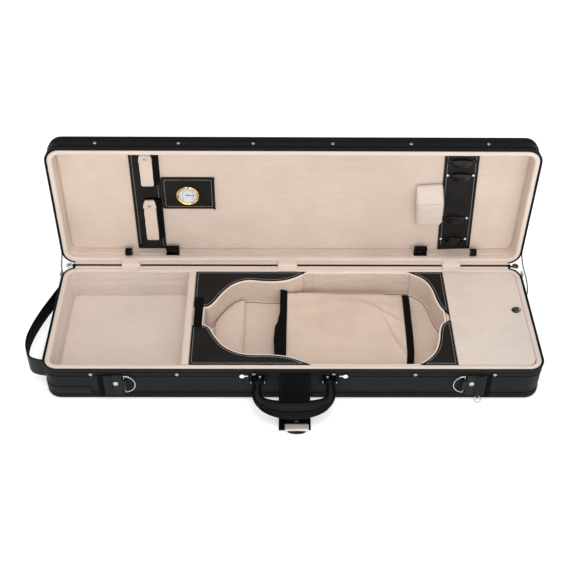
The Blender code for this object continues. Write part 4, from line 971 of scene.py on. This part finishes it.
def make_tab_trim():
    """Black stitching round each ring tab and the smooth grey strap end sewn over its outer side."""
    lines = []
    for side, ((x0, x1), (a, b), webbing_x) in RING_TABS.items():
        z0, z1 = 0.0105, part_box(f"d_ring_tab_{side}")[1].z
        y, edge = FRONT_Y - 0.0029, 0.0022
        corners = [(x0 + edge, z0 + edge), (x1 - edge, z0 + edge), (x1 - edge, z1 - edge), (x0 + edge, z1 - edge)]
        lines.append(even_path([Vector((x, y, z)) for x, z in corners + corners[:1]], 0.0008))
        for name, x, out, bottom, width, thick, look_name in (
                ("strap", (a + b) / 2, 0.0034, z0 + 0.0005, b - a, 0.0014, "nylon_band"),
                ("webbing", webbing_x, 0.0010, 0.0045, 0.0085, 0.0018, "webbing")):
            top = z1 - 0.0005 if name == "strap" else z1 - 0.0010
            path = [Vector((x, FRONT_Y - out, z)) for z in spread(bottom, top, 16)]
            bm = swept(path, strap_section(width, thick, crown=0.0003), up=(0, -1, 0))
            piece(f"ring_tab_{name}_{side}", bm, look_name, "base")
    stitches("tab_stitching", lines, "base", "black_thread", pitch=0.0034)


def make_end_pad():
    """The dark padding over the lower half of the base's front left corner."""
    path = [p for p in case_ring(0.0008, 0.0195) if p.x < -0.312 and p.y < -0.02]
    path.sort(key=lambda p: p.x - p.y * 3)
    section = [(b, a) for a, b in strap_section(0.0155, 0.0014, crown=0.0002)]
    piece("front_left_pad", swept(path, section), "binding", "base")


END_STRAP = [(-395.6, 99), (-403, 80), (-417, 42), (-428, 6), (-433.5, -25), (-432.5, -48), (-427, -66)]


def make_end_strap():
    low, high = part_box("end_handle_strap")
    path = [Vector((p.x, p.y, (low.z + high.z) / 2)) for p in smooth_path(mm(END_STRAP), 8)]
    section = [(b, a) for a, b in strap_section(high.z - low.z, 0.0026, edge=0.0010, across=10)]
    bm = swept(path, section)
    soften(bm, 0.0003, 0.02, 3.0)
    piece("end_strap_webbing", bm, "webbing", "base", None, ["end_handle_strap"])
    lines = []
    for z in (low.z + 0.003, high.z - 0.003):
        lines.append([])
        for before, p, after in zip(path, path[1:], path[2:]):
            along = (after - before).normalized()
            lines[-1].append(Vector((p.x - abs(along.y) * 0.00135,
                                     p.y + blunt(along.y, 0) * along.x * 0.00135, z)))
    stitches("end_strap_stitching", lines, "base", "black_thread")


def make_slider_pulls():
    """Each zip slider: a waisted body on the teeth with a bridge over it, and the pull on the bridge."""
    for side, sign in (("left", -1), ("right", 1)):
        low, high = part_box(f"zip_slider_{side}")
        x_in, x_out = (high.x, low.x) if sign < 0 else (low.x, high.x)
        _, y, z = (low + high) / 2
        rings = []
        for t in spread(-1, 1, 14):
            half_z = (high.z - low.z) / 2 * (0.80 + 0.20 * t if t > -0.9 else 0.6)
            half_x = 0.0014 * (0.8 if abs(t) > 0.9 else 1.0)
            rings.append([Vector((x_in + sign * 0.0015 + half_x * blunt(c, 0.5), y + t * (high.y - low.y) / 2,
                                  z + half_z * blunt(s, 0.5))) for c, s in round_section(1.0, 16)])
        bm = ringed(rings)
        bridge = [(x_in + sign * 0.0026, y - 0.0045, z), (x_out - sign * 0.0002, y - 0.002, z),
                  (x_out - sign * 0.0002, y + 0.002, z), (x_in + sign * 0.0026, y + 0.0045, z)]
        add_sweep(bm, smooth_path(bridge, 4), round_section(0.0006, 8))
        piece(f"zip_slider_{side}_body", bm, "steel", f"zip_slider_{side}", None, [f"zip_slider_{side}"])
        path = [Vector((x_out - sign * (0.0006 + 0.0002 * k), y, z - 0.001 - 0.0011 * k)) for k in range(10)]
        bm = swept(path, strap_section(0.0052, 0.0010), up=(sign, 0, 0),
                   sizes=[0.7, 0.8, 0.75, 0.7, 0.75, 0.85, 0.95, 1.0, 0.95, 0.6])
        piece(f"zip_slider_{side}_pull", bm, "steel", f"zip_slider_{side}")


# ---------------------------------------------------------------- cloth that crosses the hinge

HINGE_CLOTHS = {"left": (-0.294, -0.263), "centre": (-0.0245, 0.0085), "right": (0.260, 0.291)}
REAR_END = 0.3745
# Sections of the cloth, (y, z) in millimetres
CLOTH_LINE = [(108.6, 68.2), (112.5, 68.8), (116.5, 69.0), (119.6, 70.0), (121.6, 72.0), (122.5, 75.2),
              (122.6, 79.2), (123.1, 83.6)]
BASE_TURNOVER = [(115.8, 66.6), (116.0, 67.7), (117.2, 68.4), (119.4, 68.5), (121.4, 68.3), (121.9, 67.8),
                 (121.7, 66.8)]
LID_TURNOVER = [(125.0, 75.6), (123.7, 75.0), (123.3, 73.6), (123.3, 71.6), (123.5, 70.3), (124.0, 69.9),
                (125.0, 70.1)]
INNER_GUSSET = [(121.2, 64.0), (122.3, 65.6), (123.0, 67.4), (124.2, 68.5), (126.0, 69.4)]
REAR_GUSSET = [(122.1, 48.0), (122.2, 58.0), (122.9, 62.4), (124.6, 64.6), (127.0, 66.4), (131.0, 68.3),
               (142.0, 69.0)]
# The end of the zip at each rear corner; the right one hangs away from the wall
CORNER_ZIPS = {
    "left": [(-393.6, 104.5, 66.0), (-395.0, 107, 68.0), (-396.0, 111, 71.5), (-396.4, 116, 76.5),
             (-396.0, 121, 82.0), (-395.2, 124.5, 90.0), (-394.4, 127.5, 99.0)],
    "right": [(394.8, 52, 63.0), (398.4, 62, 64.0), (400.8, 78, 65.5), (401.0, 94, 68.0), (399.4, 108, 72.5),
              (397.2, 117, 80.0), (395.6, 123, 90.0), (394.5, 127.5, 99.0)],
}
CORNER_BUNCH = [(366, 122.4, 68.2), (372, 122.3, 68.2), (378, 122.0, 68.2), (383, 121.2, 68.2)]


def hinge_strip(name, profile, x0, x1, thick, look_name, count=12):
    """A strip of cloth along x, from x0 to x1, whose section follows a profile: (y, z) from the hinge in millimetres."""
    path = smooth_path(mm(profile), 4)
    normals = []
    for before, after in zip([path[0], *path], [*path[1:], path[-1]]):
        along = (after - before).normalized()
        normals.append(Vector((-along.y, along.x)) * thick / 2)
    section = [p + n for p, n in zip(path, normals)] + [p - n for p, n in zip(path, normals)][::-1]
    rings = [[Vector((x, p.x, p.y)) for p in section] for x in spread(x0, x1, count)]
    obj = piece(name, ringed(rings), look_name, None)
    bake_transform(obj)


def make_hinge_cloth():
    """Cream cloth over the three hinges, the plush turned over both rear edges between them, and the gussets."""
    for side, (x0, x1) in HINGE_CLOTHS.items():
        hinge_strip(f"hinge_cloth_{side}", CLOTH_LINE, x0, x1, 0.0012, "rim")
    edges = [-REAR_END, *[x for pair in HINGE_CLOTHS.values() for x in pair], REAR_END]
    for body, outline in (("base", BASE_TURNOVER), ("lid", LID_TURNOVER)):
        bm = bmesh.new()
        for x0, x1 in zip(edges[::2], edges[1::2]):
            count = max(4, round((x1 - x0) / 0.012))
            add_rings(bm, [[Vector((x, y * MM, z * MM)) for y, z in outline]
                           for x in spread(x0 + 0.0004, x1 - 0.0004, count)])
        soften(bm, 0.0002, 0.03, 3.0)
        piece(f"{body}_rear_turnover", bm, "rim", body)
    hinge_strip("inner_gusset", INNER_GUSSET, -0.3795, 0.3795, 0.0007, "binding", 60)
    hinge_strip("rear_gusset", REAR_GUSSET, -0.372, 0.372, 0.0009, "nylon", 60)
    for side, path in CORNER_ZIPS.items():
        obj = piece(f"corner_zip_{side}", swept(smooth_path(mm(path), 5), round_section(0.0010, 8)), "tape", None)
        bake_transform(obj)
    bm = bmesh.new()
    for sign in (-1, 1):
        # the gusset bunches up where the zip ends
        line = smooth_path(mm([(sign * x, y, z) for x, y, z in CORNER_BUNCH]), 4)
        add_sweep(bm, line, round_section(0.0010, 10), sizes=spread(0.8, 1.9, len(line) - 1))
    piece("corner_bunches", bm, "binding", "base")


# ---------------------------------------------------------------- inside the lid

def lid_box(node):
    points = [LID_BACK @ v.co for v in frame["nodes"][node].data.vertices]
    return [Vector([pick(p[i] for p in points) for i in range(3)]) for pick in (min, max)]


def make_lid_stitching():
    lines = []
    for node in ("bow_strip_left", "bow_strip_right", "hygrometer_plate"):
        outline = top_outline(node, LID_BACK)
        line = inset_line(outline, 0.0050, max(p.z for p in outline) + 0.0001)
        lines.append([p for p in line if "plate" in node or abs(p.y) < 0.0985])
    stitches("lid_stitching", lines, "lid", stand=LID)


SCREW = [(0.0002, 0), (0.0030, 0), (0.0032, 0.0005), (0.0026, 0.0010), (0.0018, 0.0008), (0.0002, 0.0007)]


def make_toggle(level):
    """A turning bow toggle: a plush-covered tongue, thick at its screwed head and thinner to its tip."""
    node = f"bow_toggle_{level}"
    low, high = lid_box(node)
    head, n = 0.0165, 36
    cx, half, length = (low.x + high.x) / 2, (high.x - low.x) / 2, high.y - low.y
    rings = []
    for t in spread(0, 1, n):
        y = low.y + length * t
        drop = high.y - y
        width = half * (0.78 + 0.22 * min(1.0, drop / 0.011)) if drop < head else half * 0.94
        end = min(1.0, (min(t, 1 - t) * n / 2.2) ** 0.5)
        tuck = 1 - 0.16 * math.exp(-((drop - head) / 0.0013) ** 2)
        rise = (0.0060 if drop <= head else 0.0048) * (0.55 + 0.45 * end) * tuck
        width *= (0.88 + 0.12 * end) * (0.5 + 0.5 * tuck)
        rings.append([Vector((cx + width * blunt(c, 0.45), y, low.z + rise * (0.5 + 0.5 * blunt(s, 0.5))))
                      for c, s in round_section(1.0, 24)])
    bm = ringed(rings)
    soften(bm, 0.0005, 0.010, 2.0 + length * 10)
    piece(f"{node}_plush", bm, "plush", node, LID, [node])
    place = Matrix.Translation((cx, high.y - 0.009, low.z + 0.0054))
    piece(f"{node}_screw", turned(SCREW, place, 18), "steel", node, LID)
    # the block's dark edge beside the toggle, in lumps: partly the holder's own black body, partly painted shade along
    # the toggle's side
    block_low, block_high = lid_box(f"bow_holder_{level}")
    ys = spread(block_low.y + 0.003, block_high.y - 0.003, 40)
    path = [Vector((block_high.x - 0.0002, y, (block_low.z + block_high.z) / 2)) for y in ys]
    sizes = [0.80 + 0.45 * noise.noise(Vector((y / 0.006, length * 9, 1.0))) for y in ys]
    piece(f"bow_holder_{level}_edge", swept(path, round_section(0.0023, 10), sizes=sizes), "velcro", "lid", LID)


def make_hygrometer():
    low, high = lid_box("hygrometer_case")
    cx, cy, _ = (low + high) / 2
    face = low.z + 0.0015
    axis = Matrix.Translation((cx, cy, 0))
    dial = [(0.0002, face), (0.0154, face), (0.0154, face + 0.0002), (0.0002, face + 0.0002)]
    piece("hygrometer_dial", turned(dial, axis, 48), "dial", "lid", LID)
    bm = bmesh.new()
    for k in range(31):
        a = math.radians(225 - 270 * k / 30)
        r0, r1, half = (0.0112, 0.0142, 0.00028) if k % 5 == 0 else (0.0126, 0.0142, 0.00014)
        d = Vector((math.cos(a), math.sin(a), 0))
        side = Vector((-d.y, d.x, 0)) * half
        base = Vector((cx, cy, face + 0.00022))
        ring = [base + d * r0 - side, base + d * r1 - side, base + d * r1 + side, base + d * r0 + side]
        add_rings(bm, [ring, [p + Vector((0, 0, 0.00008)) for p in ring]])
    arc = [Vector((cx + 0.0096 * math.cos(t), cy + 0.0096 * math.sin(t), face + 0.00026))
           for t in spread(math.radians(225), math.radians(-45), 40)]
    add_sweep(bm, arc, strap_section(0.0005, 0.0001, across=2))
    piece("hygrometer_scale", bm, "ink", "lid", LID)
    # The two notches in the case's rim, drawn as black discs: painted shade
    bm = bmesh.new()
    for sign in (-1, 1):
        add_turned(bm, [(0.0002, -0.0010), (0.0014, -0.0010), (0.0014, 0.0003), (0.0002, 0.0004)],
                   Matrix.Translation((cx + 0.0015 * sign, cy + 0.0178 * sign, high.z)), 12)
    piece("hygrometer_notches", bm, "ink", "lid", LID)
    plate_low, plate_high = lid_box("hygrometer_plate")
    edge_x = plate_high.x - 0.0014
    edge = [Vector((edge_x, y, plate_high.z + 0.0004))
            for y in spread(plate_low.y + 0.001, plate_high.y - 0.001, 20)]
    bm = swept(edge, round_section(0.0014, 8))
    for y in (plate_low.y + 0.0016, plate_high.y - 0.0016):
        add_rivet(bm, (edge_x, y, plate_high.z + 0.0012), (0, 0, 1), 0.0022, 0.0012)
    piece("hygrometer_plate_edge", bm, "glossy", "lid", LID)
    glass = [(0.0002, 0.0032), (0.0148, 0.0026), (0.0153, 0.0027), (0.0153, 0.0031), (0.0148, 0.0034),
             (0.010, 0.0040), (0.005, 0.0042), (0.0002, 0.0043)]
    piece("hygrometer_glass", turned([(r, low.z + h) for r, h in glass], axis, 40), "glass", "lid", LID)


# The cushion leans a little more than the strip beside it, and laps over the strip's edge
CUSHION_MIDDLE = Vector((0.2284, -0.0065, 0))
CUSHION_LEAN = math.radians(5)
CUSHION_HALF = 0.0228


def make_bow_cushion():
    """The roof-shaped cushion: two slopes that meet in a ridge, with pinched side seams."""
    low, high = lid_box("bow_cushion")
    y0, y1, ridge, count = -0.0496, 0.0368, 0.0075, 30
    rings = []
    for u in spread(-1, 1, 18):
        ring = []
        for v in spread(0, 1, count):
            y = y0 + (y1 - y0) * v
            h = 0.0075 + 0.0135 * ((y - y0) / (ridge - y0) if y < ridge else (y1 - y) / (y1 - ridge))
            h *= 0.82 + 0.18 * min(1.0, max(0.0, min(v, 1 - v)) * count / 2.0) ** 0.5
            h *= 1 - 0.10 * max(0.0, (abs(u) - 0.85) / 0.15) ** 2
            ring.append(Vector((CUSHION_MIDDLE.x + u * (CUSHION_HALF - 0.0006), y, low.z + h)))
        # the right-hand side is tucked in below, over the edge of the strip beside it
        tuck = 0.0045 * max(0.0, u) ** 2
        rings.append(ring + [Vector((p.x - tuck, p.y, low.z + 0.0030)) for p in ring[::-1]]
                     + [Vector((p.x - tuck, p.y, low.z)) for p in ring])
    bm = puffed(ringed(rings), 0.0030, 0.0008)
    middle = Matrix.Translation(CUSHION_MIDDLE)
    turn = middle @ Matrix.Rotation(CUSHION_LEAN, 4, "Z") @ middle.inverted()
    bm.transform(turn)
    soften(bm, 0.0005, 0.018, 6.0, weight=lambda co: 1.0 if co.z > low.z + 0.002 else 0.0)
    # The cushion takes the base's lighter plush rather than the lid's: painted light, brightening its slopes
    obj = piece("bow_cushion_plush", bm, "base_plush", "lid", LID, ["bow_cushion"], smooth=75)
    seam = [turn @ Vector((CUSHION_MIDDLE.x + (CUSHION_HALF - 0.0020) * t, ridge,
                           low.z + 0.0210 - 0.0015 * abs(t) ** 8)) for t in spread(-1, 1, 20)]
    piece("bow_cushion_seam", swept(seam, round_section(0.0005, 6)), "rim", "lid", LID)


# The loops for the bow tips, in millimetres: (left end, right end, height in the lid) and the ends with studs
TIP_LOOPS = [(250.2, 293.0, 82.4, ()), (251.8, 294.0, 54.9, (0, 1)), (253.4, 294.6, -34.6, (1,)),
             (255.8, 297.6, -80.6, (0, 1))]


def make_tip_loops():
    """Four glossy loops on the right strip that the bow tips slip under, riveted at their ends."""
    z = lid_box("bow_strip_right")[1].z
    section = strap_section(0.0110, 0.0012, crown=0.0003)
    bm, studs = bmesh.new(), bmesh.new()
    for left, right, height, studded in TIP_LOOPS:
        x0, x1, y = left * MM, right * MM, height * MM
        line = [(x0 - 0.0032, y, 0.0008, 0.55), (x0 + 0.002, y, 0.0008, 0.6)]
        for k, x in enumerate(spread(x0 + 0.005, x1 - 0.005, 18)):
            arch = max(0.0, math.sin(math.pi * k / 18))
            line.append((x, y - 0.003, 0.0010 + 0.0042 * arch ** 0.7, 0.6 + 0.9 * arch ** 0.6))
        line += [(x1 - 0.002, y, 0.0008, 0.6), (x1 + 0.0032, y, 0.0008, 0.55)]
        add_rings(bm, [[Vector((x, py + a * wide, z + rise + b)) for a, b in section]
                       for x, py, rise, wide in line])
        for end in studded:
            add_rivet(studs, ((x0, x1)[end], y, z + 0.0013), (0, 0, 1), 0.0024, 0.0011)
    piece("bow_tip_loops", bm, "glossy", "lid", LID)
    piece("bow_tip_studs", studs, "chrome", "lid", LID)


def make_tube_trim():
    """The string tube's closed end."""
    cap_low, cap_high = lid_box("string_tube_cap")
    _, y, z = (cap_low + cap_high) / 2
    stand = Matrix.Translation((lid_box("string_tube")[0].x, y, z)) @ Matrix.Rotation(math.pi / 2, 4, "Y")
    profile = [(0.0002, -0.0002), (0.0060, -0.0002), (0.0066, 0.0006), (0.0066, 0.0106), (0.0060, 0.0112),
               (0.0047, 0.0113)]
    piece("string_tube_end_cap", turned(profile, stand, 24), "moulded", "string_tube", LID)


def make_music_pocket():
    """The flat pocket on the lid's outside, with its own zip across the upper part."""
    low, high = lid_box("music_pocket")
    hx, hy = high.x, high.y
    rings = [rounded_ring(hx - inset, hy - inset, max(0.017 - inset, 0.006), z) for inset, z in (
        (0.06, high.z), (0.004, high.z), (0.0005, high.z - 0.0015), (0.0, (low.z + high.z) / 2),
        (0.0006, low.z + 0.0026), (0.0020, low.z + 0.0012), (0.0045, low.z + 0.0008), (0.0075, low.z + 0.0014),
        (0.011, low.z + 0.0004), (0.02, low.z + 0.0001), (0.04, low.z), (0.06, low.z + 0.0001), (0.08, low.z),
        (0.10, low.z + 0.0002))]
    bm = ringed(rings)
    soften(bm, 0.0012, 0.05, 9.0, weight=lambda co: 1.0 if co.z < high.z - 0.001 else 0.0)
    piece("music_pocket_cloth", bm, "nylon", "lid", LID, ["music_pocket"])
    y = hy - 0.030
    line = [Vector((x, y, low.z - 0.0002)) for x in spread(-hx + 0.03, hx - 0.03, 60)]
    piece("pocket_zip_tape", swept(line, strap_section(0.016, 0.0008, across=6)), "tape", "lid", LID)
    bm = bmesh.new()
    corners = ((-1, -1), (1, -1), (1, 1), (-1, 1))
    for x in spread(-hx + 0.032, hx - 0.032, 249):
        add_rings(bm, [[Vector((x + a * half_x, y + b * half_y, z)) for a, b in corners] for half_x, half_y, z in (
            (0.0009, 0.0018, low.z - 0.0009), (0.0006, 0.0013, low.z - 0.0015))])
    piece("pocket_zip_teeth", bm, "teeth", "lid", LID, smooth=30)


def make_corner_studs():
    """A press stud on each rear corner's gusset; the right one takes the dark steel look as painted shade."""
    for name, x, look_name in (("left", -0.3845, "satin"), ("right", 0.3870, "dark_steel")):
        bm, hole = bmesh.new(), bmesh.new()
        add_rivet(bm, (x, 0.1205, 0.0700), (0, -0.15, 1), 0.0058, 0.0022, hollows=hole)
        piece(f"corner_stud_{name}", bm, look_name, "base")
        # the black plug in the stud's hollow is painted shade
        piece(f"corner_stud_{name}_hollow", hole, "ink", "base")


# ---------------------------------------------------------------- studio

# Area lights: name, place, width and power
LIGHTS = [("key", (-0.1, -2.2, 0.85), 1.6, 15.5), ("fill", (1.5, -1.9, 0.9), 1.6, 8),
          ("top", (0.1, -0.4, 2.6), 1.4, 22)]


def make_stage():
    scene = bpy.context.scene
    bm = bmesh.new()
    bmesh.ops.create_grid(bm, x_segments=1, y_segments=1, size=6.0)
    floor = new_object(bm, "studio_floor")
    floor.location = (0, 0, -0.0004)
    material = bpy.data.materials.new("studio_floor")
    material.use_nodes = True
    inputs = material.node_tree.nodes["Principled BSDF"].inputs
    for socket, value in (("Base Color", (0.97, 0.97, 0.97, 1)), ("Roughness", 0.9), ("Specular IOR Level", 0.1),
                          ("Emission Color", (1.0, 1.0, 1.0, 1)), ("Emission Strength", 0.42)):
        inputs[socket].default_value = value
    floor.data.materials.append(material)
    scene.world = bpy.data.worlds.new("studio")
    scene.world.use_nodes = True
    background = scene.world.node_tree.nodes["Background"]
    background.inputs["Color"].default_value = (1.0, 1.0, 1.0, 1)
    background.inputs["Strength"].default_value = 0.55
    for name, place, size, power in LIGHTS:
        light = bpy.data.lights.new(name, "AREA")
        light.size = size
        light.energy = power
        lamp = bpy.data.objects.new(name, light)
        lamp.location = place
        lamp.rotation_euler = (Vector((0, 0.05, 0.05)) - Vector(place)).to_track_quat("-Z", "Y").to_euler()
        scene.collection.objects.link(lamp)
    scene.view_settings.view_transform = "Standard"


def make_camera():
    data = bpy.data.cameras.new("camera")
    data.sensor_width = 36
    data.lens = 63.69
    camera = bpy.data.objects.new("camera", data)
    forward = Vector((0.00997, 0.73147, -0.68180)).normalized()
    up = Vector((-0.00175, 0.68185, 0.73149)).normalized()
    right = forward.cross(up).normalized()
    turn = Matrix((right, right.cross(forward), -forward)).transposed().to_4x4()
    camera.matrix_world = Matrix.Translation((-0.0297, -1.1785, 1.2354)) @ turn
    bpy.context.scene.collection.objects.link(camera)
    bpy.context.scene.camera = camera


dress_nodes()
make_trays()
make_bay()
make_divider("left", "rim", 0.004, 11.0)
make_divider("right", "plush", 0.002, 12.0)
make_panel_stitching()
make_blanket()
make_neck_strap()
make_accessory_lid()
make_rivets()
make_handle()
make_latch_trim()
make_tab_trim()
make_end_pad()
make_end_strap()
make_slider_pulls()
make_hinge_cloth()
make_lid_stitching()
make_toggle("upper")
make_toggle("lower")
make_hygrometer()
make_bow_cushion()
make_tip_loops()
make_tube_trim()
make_music_pocket()
make_corner_studs()
make_stage()
make_camera()
